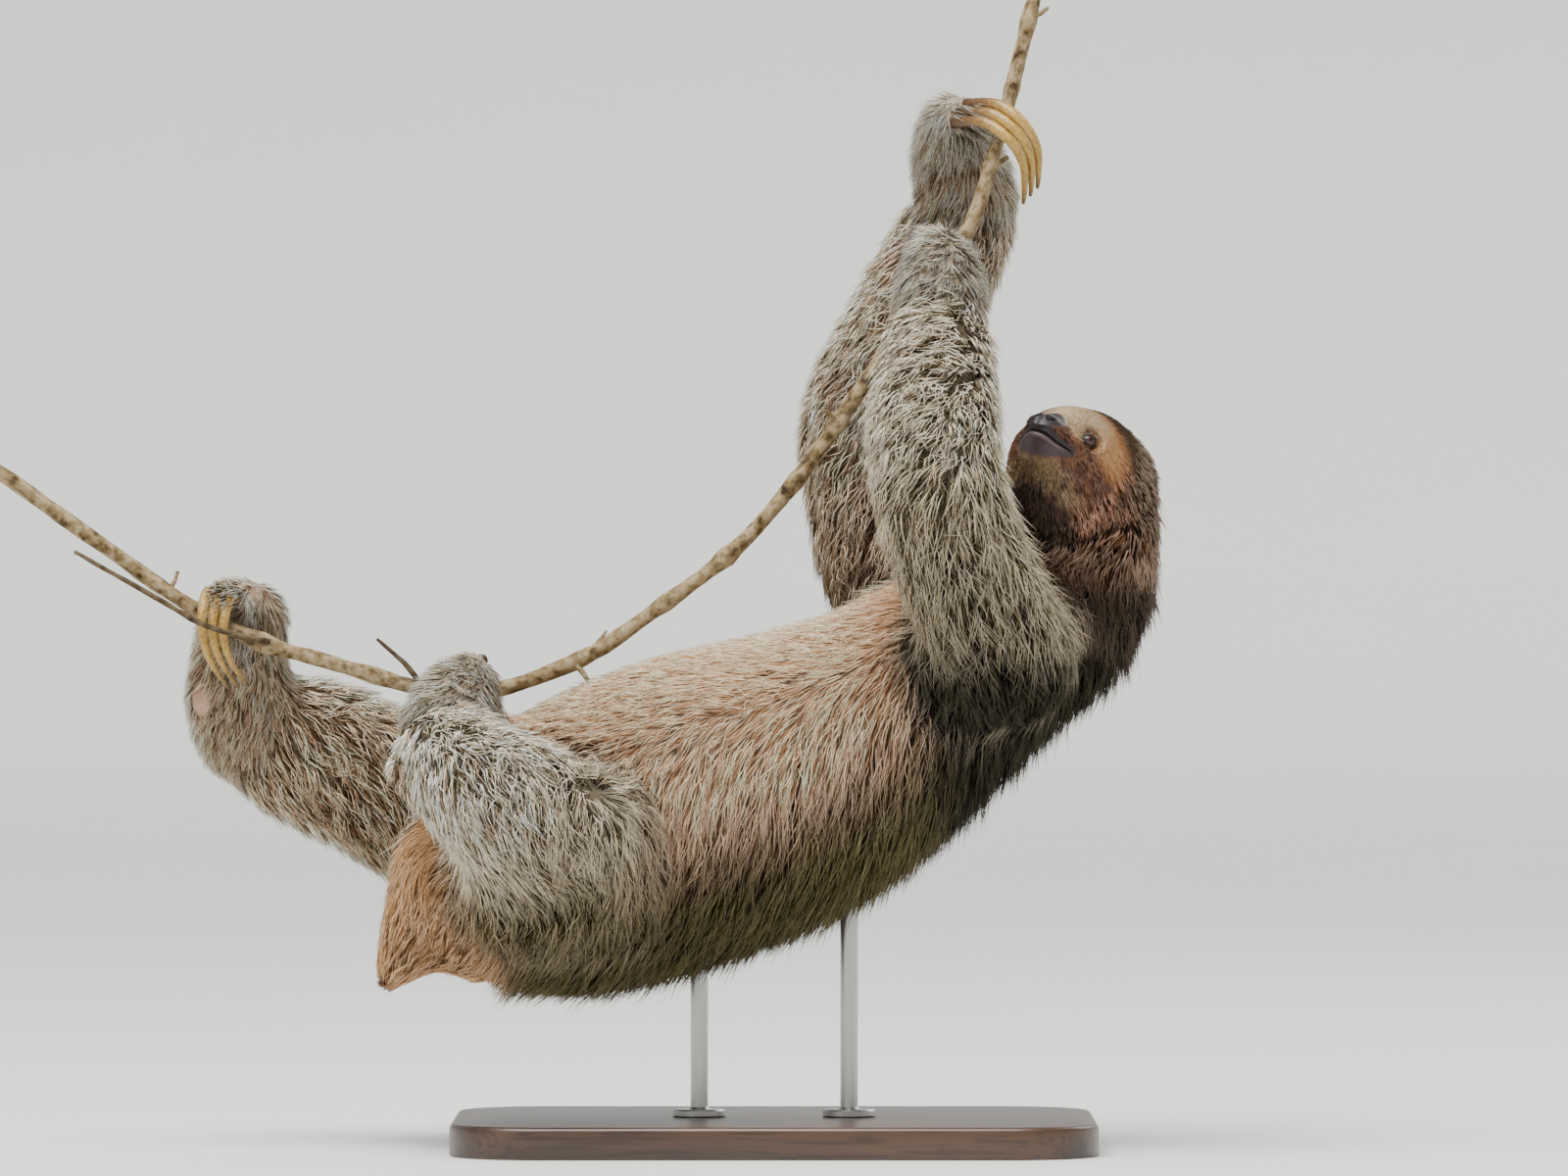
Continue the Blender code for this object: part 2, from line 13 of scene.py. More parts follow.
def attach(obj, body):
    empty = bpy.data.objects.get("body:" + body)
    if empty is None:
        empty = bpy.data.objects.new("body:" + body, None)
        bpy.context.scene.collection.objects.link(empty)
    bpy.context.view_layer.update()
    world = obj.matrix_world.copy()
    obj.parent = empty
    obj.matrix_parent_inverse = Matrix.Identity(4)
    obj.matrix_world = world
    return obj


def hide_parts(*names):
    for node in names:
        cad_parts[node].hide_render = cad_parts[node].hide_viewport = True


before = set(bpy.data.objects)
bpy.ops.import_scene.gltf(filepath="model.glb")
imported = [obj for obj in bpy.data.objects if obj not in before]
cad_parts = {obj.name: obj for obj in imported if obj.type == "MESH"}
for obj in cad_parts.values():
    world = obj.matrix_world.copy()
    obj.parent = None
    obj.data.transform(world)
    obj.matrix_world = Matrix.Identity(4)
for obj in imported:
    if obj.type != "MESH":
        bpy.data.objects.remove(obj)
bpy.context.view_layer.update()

bl_info = {
    "name": "Three-toed Sloth on a Vine",
    "version": (1, 0, 0),
    "blender": (4, 5, 0),
    "location": "View3D > Sidebar > Sloth",
    "description": "Skin, coat, face, claws, vine and display stand of a hanging sloth",
    "category": "Object",
}

SEED = 20
SIDES = (1.0, -1.0)  # the head's left and right, as signs


# ---------------------------------------------------------------- the animal's own places
# The head has axes of its own: forward to the nose, across to the animal's left, up to the crown.
NOSE_TIP = Vector((0.1485, -0.046, 0.4098))
FORWARD = Vector((-0.206, -0.628, 0.751)).normalized()
LEFT = Vector((0.508, 0.587, 0.630)).cross(FORWARD).normalized()
CROWN = FORWARD.cross(LEFT)
HEAD_AXES = np.array([FORWARD, LEFT, CROWN])
NOSE_ASIDE = (0.0005, 0.0000, 0.0008)
EYE_PLACE = Vector((-0.025, 0.0165, 0.0135))
EYE_AXIS = Vector((0.52, 0.84, -0.08)).normalized()

# The face's own measures are in millimetres and degrees.
EYE_RADIUS = 5.2
LID_HALF_WIDTH, LID_HALF_HEIGHT, LID_TILT = 4.2, 2.5, 0.53  # the tilt is in radians
LID_BARE, LID_CREASE = 1.4, 1.75  # openings from the eye's middle: where hair begins, and where the lid ends
MOUTH_CENTRE = -34.0  # the jaw's middle, behind the nose tip
MOUTH_LINE = (  # turn round the jaw, and the height there
    (0, -8.6), (12, -8.0), (25, -7.0), (40, -5.2), (52, -3.6), (60, -3.4),
)
MOUTH_CORNER = 54.0
NOSTRIL_ASIDE, NOSTRIL_HEIGHT = 3.9, 0.6

# Each limb from where it leaves the trunk to its knuckles.
JOINTS = {
    "arm_left": (
        (0.130, -0.062, 0.278), (0.085, -0.124, 0.385), (0.091, -0.060, 0.465), (0.093, -0.027, 0.501)),
    "arm_right": (
        (0.096, 0.059, 0.292), (0.050, 0.080, 0.410), (0.108, 0.050, 0.533), (0.101, 0.022, 0.577)),
    "leg_left": (
        (-0.125, -0.070, 0.168), (-0.113, -0.100, 0.178), (-0.183, -0.056, 0.232), (-0.172, -0.026, 0.261)),
    "leg_right": (
        (-0.158, 0.064, 0.172), (-0.190, 0.084, 0.185), (-0.294, 0.048, 0.235), (-0.298, 0.028, 0.298)),
}
ARM, LEG = ("upper_arm", "forearm", "hand"), ("thigh", "shank", "foot")
TRUNK_LINE = (  # the trunk's middle line as x and z
    (-0.178, 0.143), (-0.100, 0.172), (-0.050, 0.190), (0.006, 0.208), (0.056, 0.234), (0.100, 0.265),
    (0.152, 0.304),
)
TAIL_BASE, TAIL_TIP = Vector((-0.172, 0.0, 0.150)), Vector((-0.219, 0.0, 0.091))
KNEE_WHORL = Vector((-0.082, -0.125, 0.207))
HEELS = ((-0.206, -0.078, 0.211), (-0.3235, 0.0185, 0.2515))
CLAW_ROUTES = {  # route of the middle claw, then the steps to its neighbours at root and tip
    "hand_left": (
        [(0.0838, -0.028, 0.503), (0.0812, -0.011, 0.5055), (0.0890, 0.0030, 0.4990),
         (0.1025, 0.0045, 0.4895), (0.1110, 0.0005, 0.4835)],
        (0.0040, 0.000, 0.0056), (0.0036, 0.000, 0.0052)),
    "hand_right": (
        [(0.1060, 0.006, 0.5810), (0.1221, -0.0115, 0.5797), (0.1353, -0.0180, 0.5698),
         (0.1430, -0.0160, 0.5566), (0.1441, -0.0090, 0.5434), (0.1436, -0.0030, 0.5341)],
        (0.0036, 0.001, 0.0052), (0.0040, 0.001, 0.0044)),
    "foot_left": (
        [(-0.1705, -0.020, 0.2735), (-0.1705, -0.004, 0.2722), (-0.1705, 0.0100, 0.2600),
         (-0.1705, 0.0100, 0.2440), (-0.1705, 0.0050, 0.2330)],
        (0.0068, 0.000, 0.0006), (0.0052, 0.000, 0.0004)),
    "foot_right": (
        [(-0.3085, 0.0140, 0.3080), (-0.3115, 0.0015, 0.3100), (-0.3138, -0.0095, 0.3010),
         (-0.3141, -0.0118, 0.2871), (-0.3097, -0.0105, 0.2728), (-0.2998, -0.0040, 0.2585)],
        (0.0068, 0.000, -0.0024), (0.0052, -0.001, 0.0010)),
}

FLESH = [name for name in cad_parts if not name.startswith(("claw", "eye", "vine", "stand"))]

# How the coat of each length of limb leans besides lying toward the body.
LIMB_FALL = {
    "upper_arm": (-0.95, 0.0, -0.10), "forearm": (-0.85, 0.0, -0.25), "hand": (-0.5, 0.0, -0.6),
    "thigh": (0.1, 0.0, -0.9), "shank": (0.15, 0.0, -0.7), "foot": (-0.7, 0.0, -0.7),
}
WHORL_REACH, WHORL_PARTS, WHORL_LEAN = 0.040, ("thigh", "shank_left", "trunk"), (0.25, 0.0, -0.2)
FOLDS = (  # where the coat folds over a bent wrist or ankle: a place on the fold and the direction across it
    ("hand_left", "forearm_left", (0.0975, -0.084, 0.4637), (0.05, 0.45, 0.89)),
    ("foot_left", "shank_left", (-0.172, -0.075, 0.2470), (0.0, 0.50, 0.87)),
    ("hand_right", "forearm_right", (0.092, 0.035, 0.5420), (-0.15, 0.30, 0.94)),
)


# ---------------------------------------------------------------- small helps
def smoothstep(low, high, value):
    share = np.clip((value - low) / (high - low), 0.0, 1.0)
    return share * share * (3.0 - 2.0 * share)


def hump(offset, width):
    """1 where the offset is nothing, falling off smoothly over the width."""
    return np.exp(-((offset / width) ** 2))


def unit(vectors):
    return vectors / np.maximum(np.linalg.norm(vectors, axis=-1, keepdims=True), 1e-9)


def distance(points, place):
    return np.linalg.norm(points - np.array(place), axis=1)


def along(vectors, directions):
    """How far each vector runs along its own direction."""
    return (vectors * directions).sum(axis=1)


def of_part(parts, *names):
    return np.isin(parts, [FLESH.index(name) for name in names])


def head_coordinates(points):
    """Places as (forward, left, crown) from the nose tip, in metres."""
    return (points - np.array(NOSE_TIP)) @ HEAD_AXES.T


def in_millimetres(head):
    return (head * 1000.0).T


def linear(red, green, blue):
    """A linear colour from one seen on a screen, as shares of 255."""
    seen = np.array([red, green, blue]) / 255.0
    return np.where(seen <= 0.04045, seen / 12.92, ((seen + 0.055) / 1.055) ** 2.4)


# ---------------------------------------------------------------- settings
def colour_setting(name, description, default):
    return bpy.props.FloatVectorProperty(
        name=name, description=description, subtype="COLOR", size=3, min=0.0, max=1.0,
        default=tuple(float(value) for value in default),
    )


def length_setting(name, description, default):
    return bpy.props.FloatProperty(
        name=name, description=description, unit="LENGTH", min=0.0, default=default,
    )


class SlothSkinSettings(bpy.types.PropertyGroup):
    grid: length_setting("Grid", "Size of the skin's grid before its face is refined", 0.0030)
    belly_depth: length_setting("Belly depth", "How far the skin lies under the belly's coat", 0.010)
    back_depth: length_setting("Back depth", "How far the skin lies under the back's coat", 0.020)
    limb_depth: length_setting("Limb depth", "How far the skin lies under the limbs' coat", 0.011)
    hand_depth: length_setting("Hand depth", "How far the skin lies under the coat of hands and feet", 0.0048)
    bare: colour_setting("Bare skin", "Nose, chin and lids", linear(42, 31, 35))
    # The lip tone is partly the paler bare skin of lip and chin, partly a painted highlight along the lower
    # lip's ridge.
    lip: colour_setting("Lips", "The paler skin of the lower lip", linear(112, 90, 90))


class SlothCoatSettings(bpy.types.PropertyGroup):
    fullness: bpy.props.FloatProperty(
        name="Fullness", description="Share of the full number of tufts", subtype="FACTOR",
        min=0.01, max=1.0, default=1.0,
    )
    width: length_setting("Tuft width", "Width of a body tuft at its widest", 0.00082)
    grey: colour_setting("Limbs", "Coat of arms and legs", linear(166, 149, 120))
    frost: colour_setting(
        "Frosted limbs", "The palest coat, on hands, feet and shanks", linear(216, 194, 166)
    )
    belly: colour_setting("Belly", "Coat along the belly and inside the limbs", linear(250, 202, 168))
    flank: colour_setting("Flanks", "Coat on the flanks", linear(122, 98, 68))
    # The olive tone: low on the back it is partly the algae's own colour and partly painted shade on the
    # hanging animal's underside. It also paints shade low on the arms, low on the near leg and in the folds
    # at wrist and ankle, and darkens the coat round the knee's whorl.
    olive: colour_setting("Low back", "Coat low on the back, where algae grow", linear(70, 62, 24))
    rump: colour_setting("Rump", "Coat of rump and tail", linear(188, 142, 94))
    tail_tip: colour_setting("Tail tip", "Coat at the end of the tail", linear(120, 72, 44))
    # Painted shade: this near-black tone stands for the shadow under the shoulders and chest, and in the fold
    # over each ear.
    shade: colour_setting("Under the shoulders", "Dark coat under shoulders and chest", linear(20, 18, 6))
    nape: colour_setting("Nape", "Coat of nape and neck", linear(36, 26, 14))
    ruff: colour_setting("Ruff", "The brown ruff under and behind the head", linear(74, 47, 20))
    crown: colour_setting("Crown", "Coat on the back of the head", linear(78, 60, 40))
    bridge: colour_setting("Bridge", "The palest coat, over the nose", linear(255, 212, 172))
    brow: colour_setting("Brow", "The tan band over the eyes", linear(250, 178, 122))
    cheek: colour_setting("Cheeks", "Coat of the cheeks", linear(140, 86, 46))
    stripe: colour_setting("Eye stripe", "The dark stripe behind each eye", linear(76, 38, 28))
    # Painted shade: this dark tone stands for the shadow under the head, on the throat and in the groove
    # before the ruff.
    throat: colour_setting("Throat", "Coat under the chin", linear(50, 36, 17))
    chin: colour_setting("Below the chin", "The golden olive coat just below the chin", linear(184, 148, 96))
    heel: colour_setting("Heels", "The pale skin of the heels", linear(184, 146, 122))


class SlothClawSettings(bpy.types.PropertyGroup):
    horn: colour_setting("Horn", "The claws' main colour", linear(174, 140, 70))
    streak: colour_setting("Streaks", "Brown streaks along the claws", linear(104, 74, 40))


class SlothVineSettings(bpy.types.PropertyGroup):
    radius: length_setting("Radius", "The vine's radius between its knots", 0.0046)
    bark: colour_setting("Bark", "Pale bark", linear(116, 96, 62))
    furrow: colour_setting("Furrows", "Furrows and pores in the bark", linear(58, 44, 28))


class SlothStandSettings(bpy.types.PropertyGroup):
    wood: colour_setting("Wood", "The base's stained wood", linear(74, 50, 34))
    grain: colour_setting("Grain", "The dark grain of the wood", linear(40, 26, 18))
    steel: colour_setting("Steel", "The rods' satin steel", linear(190, 190, 188))


class SlothStageSettings(bpy.types.PropertyGroup):
    floor: colour_setting("Floor", "The pale floor and backdrop", linear(226, 225, 221))
    camera_distance: length_setting("Camera distance", "From the camera to the animal's middle", 6.0)


SETTINGS = {
    "sloth_skin": SlothSkinSettings, "sloth_coat": SlothCoatSettings, "sloth_claws": SlothClawSettings,
    "sloth_vine": SlothVineSettings, "sloth_stand": SlothStandSettings, "sloth_stage": SlothStageSettings,
}


# ---------------------------------------------------------------- materials
def grey(value):
    return (value,) * 3


def scaled(colour, share):
    return tuple(share * part for part in colour)


class Finish:
    """A material in the making: constants on the shader's own sockets, patterns on Object coordinates."""

    def __init__(self, name, roughness, specular, **more):
        self.material = bpy.data.materials.new(name)
        self.material.use_nodes = True
        self.nodes, self.links = self.material.node_tree.nodes, self.material.node_tree.links
        self.sockets = self.nodes["Principled BSDF"].inputs
        self.sockets["Roughness"].default_value = roughness
        self.sockets["Specular IOR Level"].default_value = specular
        for name, value in more.items():
            self.sockets[name.replace("_", " ").title()].default_value = value

    def attribute(self, name, output):
        node = self.nodes.new("ShaderNodeAttribute")
        node.attribute_name = name
        return node.outputs[output]

    def noise(self, scale, detail, stretch=(1.0, 1.0, 1.0)):
        place = self.nodes.new("ShaderNodeTexCoord")
        mapping = self.nodes.new("ShaderNodeMapping")
        mapping.inputs["Scale"].default_value = stretch
        texture = self.nodes.new("ShaderNodeTexNoise")
        texture.inputs["Scale"].default_value = scale
        texture.inputs["Detail"].default_value = detail
        self.links.new(place.outputs["Object"], mapping.inputs["Vector"])
        self.links.new(mapping.outputs["Vector"], texture.inputs["Vector"])
        return texture.outputs["Fac"]

    def ramp(self, source, *stops):
        """Colours along a value, each stop a position and a colour."""
        node = self.nodes.new("ShaderNodeValToRGB")
        while len(node.color_ramp.elements) < len(stops):
            node.color_ramp.elements.new(0.5)
        for element, (position, colour) in zip(node.color_ramp.elements, stops):
            element.position = position
            element.color = (*colour, 1.0)
        self.links.new(source, node.inputs["Fac"])
        return node.outputs["Color"]

    def coloured(self, base, shade, share=1.0):
        """Sets the colour: the base darkened by so much of the shade."""
        mix = self.nodes.new("ShaderNodeMix")
        mix.data_type = "RGBA"
        mix.blend_type = "MULTIPLY"
        mix.inputs[0].default_value = share
        if isinstance(base, tuple):
            mix.inputs[6].default_value = (*base, 1.0)
        else:
            self.links.new(base, mix.inputs[6])
        self.links.new(shade, mix.inputs[7])
        self.links.new(mix.outputs[2], self.sockets["Base Color"])

    def bumped(self, height, strength, depth):
        node = self.nodes.new("ShaderNodeBump")
        node.inputs["Strength"].default_value = strength
        node.inputs["Distance"].default_value = depth
        self.links.new(height, node.inputs["Height"])
        self.links.new(node.outputs["Normal"], self.sockets["Normal"])


def hair_material():
    """The coat: colours from the tufts themselves, with a fine streaky variation."""
    finish = Finish("sloth_coat", 0.68, 0.12)
    shade = finish.ramp(finish.noise(900.0, 2.0), (0.3, grey(0.72)), (0.7, grey(1.12)))
    finish.coloured(finish.attribute("coat_colour", "Color"), shade)
    return finish.material


def skin_material():
    """Skin under the coat carries the coat's markings, darkened as painted shade in the coat's gaps; bare
    skin is finely wrinkled.
    """
    finish = Finish("sloth_skin", 0.45, 0.45)
    pores = finish.noise(1400.0, 6.0)
    shade = finish.ramp(pores, (0.35, grey(0.7)), (0.65, grey(1.1)))
    finish.coloured(finish.attribute("coat_colour", "Color"), shade)
    finish.bumped(pores, 0.5, 0.0004)
    return finish.material


def eye_material(name, pole):
    """The colour runs in rings round the front of the eye."""
    finish = Finish(f"sloth_{name}", 0.22, 0.3, coat_weight=0.6, coat_roughness=0.03)
    place = finish.nodes.new("ShaderNodeTexCoord")
    away = finish.nodes.new("ShaderNodeVectorMath")
    away.operation = "DISTANCE"
    away.inputs[1].default_value = pole
    finish.links.new(place.outputs["Object"], away.inputs[0])
    rings = finish.nodes.new("ShaderNodeMath")
    rings.operation = "MULTIPLY"
    rings.inputs[1].default_value = 200.0
    finish.links.new(away.outputs["Value"], rings.inputs[0])
    base = finish.ramp(
        rings.outputs["Value"], (0.27, (0.003, 0.002, 0.002)), (0.34, (0.050, 0.017, 0.012)),
        (0.52, (0.105, 0.040, 0.030)), (0.62, (0.018, 0.008, 0.007)), (0.74, (0.035, 0.018, 0.016)),
    )
    finish.coloured(base, finish.ramp(finish.noise(1800.0, 3.0), (0.3, grey(0.6)), (0.7, grey(1.25))))
    return finish.material


def horn_material(settings):
    """Pale horn, browner at the root and in streaks, worn dark at the tip."""
    finish = Finish("sloth_horn", 0.34, 0.5)
    horn, streak = tuple(settings.horn), tuple(settings.streak)
    base = finish.ramp(
        finish.attribute("claw_share", "Fac"), (0.0, scaled(streak, 0.45)), (0.12, streak), (0.28, horn),
        (0.80, horn), (1.0, scaled(streak, 0.5)),
    )
    streaks = finish.noise(520.0, 5.0)
    shade = finish.ramp(streaks, (0.32, (0.5, 0.42, 0.34)), (0.55, grey(1.0)), (0.75, grey(1.15)))
    finish.coloured(base, shade, 0.85)
    finish.bumped(streaks, 0.25, 0.0003)
    return finish.material


def bark_material(settings, name="sloth_bark", darker=1.0):
    """Pale bark with darker furrows, lichen-grey patches and fine grain."""
    finish = Finish(name, 0.82, 0.25)
    grain = finish.noise(700.0, 8.0, (0.25, 1.0, 0.25))
    base = finish.ramp(
        finish.noise(150.0, 6.0), (0.30, tuple(settings.furrow)), (0.40, tuple(settings.bark)),
        (0.60, linear(160, 142, 110)), (0.78, linear(118, 110, 74)),
    )
    grooves, rub = scaled((0.36, 0.32, 0.26), darker), (darker, darker**1.1, darker**1.2)
    finish.coloured(base, finish.ramp(grain, (0.38, grooves), (0.50, rub)), 0.8)
    finish.bumped(grain, 0.6, 0.0006)
    return finish.material


def wood_material(settings):
    """Dark stained wood with long grain and fine pores under a satin finish."""
    finish = Finish("stand_wood", 0.38, 0.5, coat_weight=0.25, coat_roughness=0.25)
    pores = finish.noise(420.0, 4.0, (0.06, 1.0, 1.0))
    rings = finish.noise(30.0, 8.0, (0.12, 1.0, 1.0))
    base = finish.ramp(rings, (0.38, tuple(settings.grain)), (0.62, tuple(settings.wood)))
    finish.coloured(base, finish.ramp(pores, (0.40, grey(0.55)), (0.52, grey(1.0))), 0.9)
    finish.bumped(pores, 0.12, 0.0003)
    return finish.material


def steel_material(settings):
    """Satin steel, turned, so that its fine scratches run round it."""
    finish = Finish("stand_steel", 0.32, 0.5, metallic=1.0)
    turned = finish.noise(500.0, 3.0, (0.05, 0.05, 6.0))
    finish.coloured(tuple(settings.steel), finish.ramp(turned, (0.3, grey(0.78)), (0.7, grey(1.0))))
    finish.bumped(turned, 0.05, 0.0001)
    return finish.material


def floor_material(settings):
    finish = Finish("floor", 0.7, 0.2)
    pale = tuple(settings.floor)
    tint = finish.ramp(finish.noise(3.0, 4.0), (0.2, scaled(pale, 0.985)), (0.8, pale))
    finish.links.new(tint, finish.sockets["Base Color"])
    return finish.material


# ---------------------------------------------------------------- meshes
def mesh_of(bm, name):
    mesh = bpy.data.meshes.new(name)
    bm.to_mesh(mesh)
    bm.free()
    return mesh


def add_piece(name, mesh, materials, slot, replaced=()):
    """A finished piece that rides with the model and stands for the nodes it replaces."""
    mesh.name = name
    mesh.materials.clear()
    for material in materials:
        mesh.materials.append(material)
    mesh.shade_smooth()
    piece = bpy.data.objects.new(name, mesh)
    bpy.context.scene.collection.objects.link(piece)
    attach(piece, "root")
    if replaced:
        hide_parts(*replaced)
    return piece


def evaluated(data, add_modifiers=None):
    """The mesh of a curve, or of a mesh after the modifiers that add_modifiers puts on it."""
    holder = bpy.data.objects.new("holder", data)
    bpy.context.scene.collection.objects.link(holder)
    if add_modifiers:
        add_modifiers(holder)
    bpy.context.view_layer.update()
    graph = bpy.context.evaluated_depsgraph_get()
    made = bpy.data.meshes.new_from_object(holder.evaluated_get(graph), depsgraph=graph)
    bpy.data.objects.remove(holder)
    return made


def values_of(items, key, width, kind=np.float32):
    """What each vertex, edge or triangle holds under this key, as rows of an array."""
    found = np.empty(len(items) * width, kind)
    items.foreach_get(key, found)
    return found.reshape(-1, width) if width > 1 else found


def coordinates(mesh):
    return values_of(mesh.vertices, "co", 3).astype(float)


def vertex_normals(mesh):
    return values_of(mesh.vertex_normals, "vector", 3).astype(float)


def edge_ends(mesh):
    return values_of(mesh.edges, "vertices", 2, np.int32)


def set_coordinates(mesh, points):
    mesh.vertices.foreach_set("co", points.astype(np.float32).ravel())
    mesh.update()


def spread(values, ends, passes):
    """Values on the vertices, evened out along the edges."""
    flat = values.reshape(len(values), -1).astype(float)
    first, second = ends.T
    count = np.bincount(ends.ravel(), minlength=len(flat))[:, None]

    def summed(column):
        return np.bincount(first, column[second], len(flat)) + np.bincount(second, column[first], len(flat))

    for _ in range(passes):
        total = np.stack([summed(column) for column in flat.T], axis=1)
        flat = 0.5 * flat + 0.5 * total / count
    return flat.reshape(values.shape)


def paint(mesh, colours):
    layer = mesh.attributes.new("coat_colour", "FLOAT_COLOR", "POINT")
    rows = np.concatenate([colours, np.ones((len(colours), 1))], axis=1)
    layer.data.foreach_set("color", rows.astype(np.float32).ravel())


def smooth_line(points, steps):
    """A smooth line through the points, with so many places from each to the next."""
    points = np.array(points, float)
    padded = np.concatenate([points[:1], points, points[-1:]])
    made = []
    for before, start, end, after in zip(padded, padded[1:], padded[2:], padded[3:]):
        for t in np.arange(steps) / steps:
            bend = 2 * before - 5 * start + 4 * end - after
            turn = 3 * start - before - 3 * end + after
            made.append(0.5 * (2 * start + t * (end - before) + t**2 * bend + t**3 * turn))
    return np.array([*made, points[-1]])


def round_line(places, radii, roundness):
    """A closed round tube along the places, its ends drawn in to a soft cap."""
    curve = bpy.data.curves.new("line", "CURVE")
    curve.dimensions = "3D"
    curve.bevel_depth = 1.0
    curve.bevel_resolution = roundness
    curve.use_fill_caps = True
    spline = curve.splines.new("POLY")
    spline.points.add(len(places) - 1)
    for point, place, radius in zip(spline.points, places, radii):
        point.co = (*place, 1.0)
        point.radius = radius
    bm = bmesh.new()
    bm.from_mesh(evaluated(curve))
    bmesh.ops.remove_doubles(bm, verts=bm.verts[:], dist=1e-6)
    bmesh.ops.recalc_face_normals(bm, faces=bm.faces[:])
    return bm


def spun(profile, x, steps, name, merge=1e-6):
    """A round shape, spun from a profile of radii and heights about an upright axis at x."""
    bm = bmesh.new()
    verts = [bm.verts.new((x + radius, 0.0, height)) for radius, height in profile]
    edges = [bm.edges.new(pair) for pair in zip(verts, verts[1:])]
    bmesh.ops.spin(
        bm, geom=verts + edges, cent=(x, 0, 0), axis=(0, 0, 1), angle=2 * pi, steps=steps, use_merge=True,
    )
    bmesh.ops.remove_doubles(bm, verts=bm.verts[:], dist=merge)
    bmesh.ops.recalc_face_normals(bm, faces=bm.faces[:])
    return mesh_of(bm, name)


# ---------------------------------------------------------------- the skin
BESIDE_ROD, HOLE_FILL_RADIUS, HOLE_FILL_LIFT = 0.009, 0.0065, 0.001
SWELL = 0.0005  # so that the parts of the flesh run together


def flesh_shell():
    """All the flesh as one loose mesh, each part a little swollen, and its rod holes filled."""
    bm = bmesh.new()
    for name in FLESH:
        part = bmesh.new()
        part.from_mesh(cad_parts[name].data)
        bmesh.ops.remove_doubles(part, verts=part.verts[:], dist=1e-6)
        part.normal_update()
        for vertex in part.verts:
            vertex.co += vertex.normal * SWELL
        bm.from_mesh(mesh_of(part, name))
    tree, _ = flesh_tree()
    for x, high in RODS.values():
        low = tree.ray_cast(Vector((x, BESIDE_ROD, 0.0)), Vector((0.0, 0.0, 1.0)))[0].z + HOLE_FILL_LIFT
        bmesh.ops.create_cone(
            bm, cap_ends=True, segments=16, radius1=HOLE_FILL_RADIUS, radius2=HOLE_FILL_RADIUS,
            depth=high - low, matrix=Matrix.Translation((x, 0.0, (low + high) / 2)),
        )
    return mesh_of(bm, "flesh")


def flesh_tree():
    """Every triangle of the flesh in one search tree, and the part each belongs to."""
    corners, faces, parts = [], [], []
    for index, name in enumerate(FLESH):
        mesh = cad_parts[name].data
        start = len(corners)
        corners += [vertex.co.copy() for vertex in mesh.vertices]
        faces += [[start + place for place in polygon.vertices] for polygon in mesh.polygons]
        parts += [index] * len(mesh.polygons)
    return BVHTree.FromPolygons(corners, faces), parts


def nearest_parts(points):
    tree, parts = flesh_tree()
    return np.array([parts[tree.find_nearest(Vector(point))[2]] for point in points])


def remeshed(mesh, grid, smoothing):
    """One closed skin round the mesh, on an even grid, without the loose shells inside it."""

    def add_modifiers(holder):
        remesh = holder.modifiers.new("remesh", "REMESH")
        remesh.mode = "VOXEL"
        remesh.voxel_size = grid
        smooth = holder.modifiers.new("smooth", "SMOOTH")
        smooth.factor = 0.5
        smooth.iterations = smoothing

    bm = bmesh.new()
    bm.from_mesh(evaluated(mesh, add_modifiers))
    unseen, islands = set(bm.verts), []
    while unseen:
        front = [unseen.pop()]
        island = list(front)
        while front:
            for edge in front.pop().link_edges:
                for vertex in edge.verts:
                    if vertex in unseen:
                        unseen.remove(vertex)
                        front.append(vertex)
                        island.append(vertex)
        islands.append(island)
    islands.sort(key=len)
    bmesh.ops.delete(bm, geom=[vertex for island in islands[:-1] for vertex in island], context="VERTS")
    bmesh.ops.recalc_face_normals(bm, faces=bm.faces[:])
    return mesh_of(bm, "skin")


def trunk_position(points):
    """How far round the trunk each point lies: 1 on the belly line, 0 on the flank, -1 on the back."""
    x, z = np.array(TRUNK_LINE).T
    centre = np.interp(points[:, 0], x, z)
    slope = np.interp(points[:, 0], x, np.gradient(z, x))
    above = (points[:, 2] - centre) / np.sqrt(1.0 + slope**2)
    return above / np.maximum(np.hypot(above, points[:, 1]), 1e-6)


def part_table(values, parts, ends, passes=10):
    """One number per kind of part, evened out over the skin."""
    row = [next(value for kind, value in values.items() if name.startswith(kind)) for name in FLESH]
    return spread(np.array(row, float)[parts], ends, passes)


def face_depth(head):
    """How deep the head's skin lies under its coat: nearly bare at the nose, deep at the nape."""
    behind, depths = (0.022, 0.032, 0.045, 0.065, 0.090), (0.0002, 0.0010, 0.0030, 0.0070, 0.0110)
    return np.interp(-head[:, 0], behind, depths)


def coat_depth(points, parts, ends, settings):
    """How deep the skin lies under the coat at each point."""
    belly, back, limb, hand = (
        getattr(settings, f"{name}_depth") for name in ("belly", "back", "limb", "hand")
    )
    trunk = back + (belly - back) * smoothstep(-0.9, 0.3, trunk_position(points))
    fixed = part_table(
        {"upper_arm": limb, "thigh": limb, "forearm": limb * 0.9, "shank": limb * 0.9,
         "hand": hand, "foot": hand, "neck": 0.012, "tail": 0.0045, "trunk": 0.0, "head": 0.0},
        parts, ends, 0,
    )
    head, of_head = head_coordinates(points), of_part(parts, "head")
    depth = np.where(of_part(parts, "trunk"), trunk, np.where(of_head, face_depth(head), fixed))
    evened = spread(depth, ends, 14)
    return evened + (depth - evened) * (smoothstep(0.045, 0.030, -head[:, 0]) * of_head)


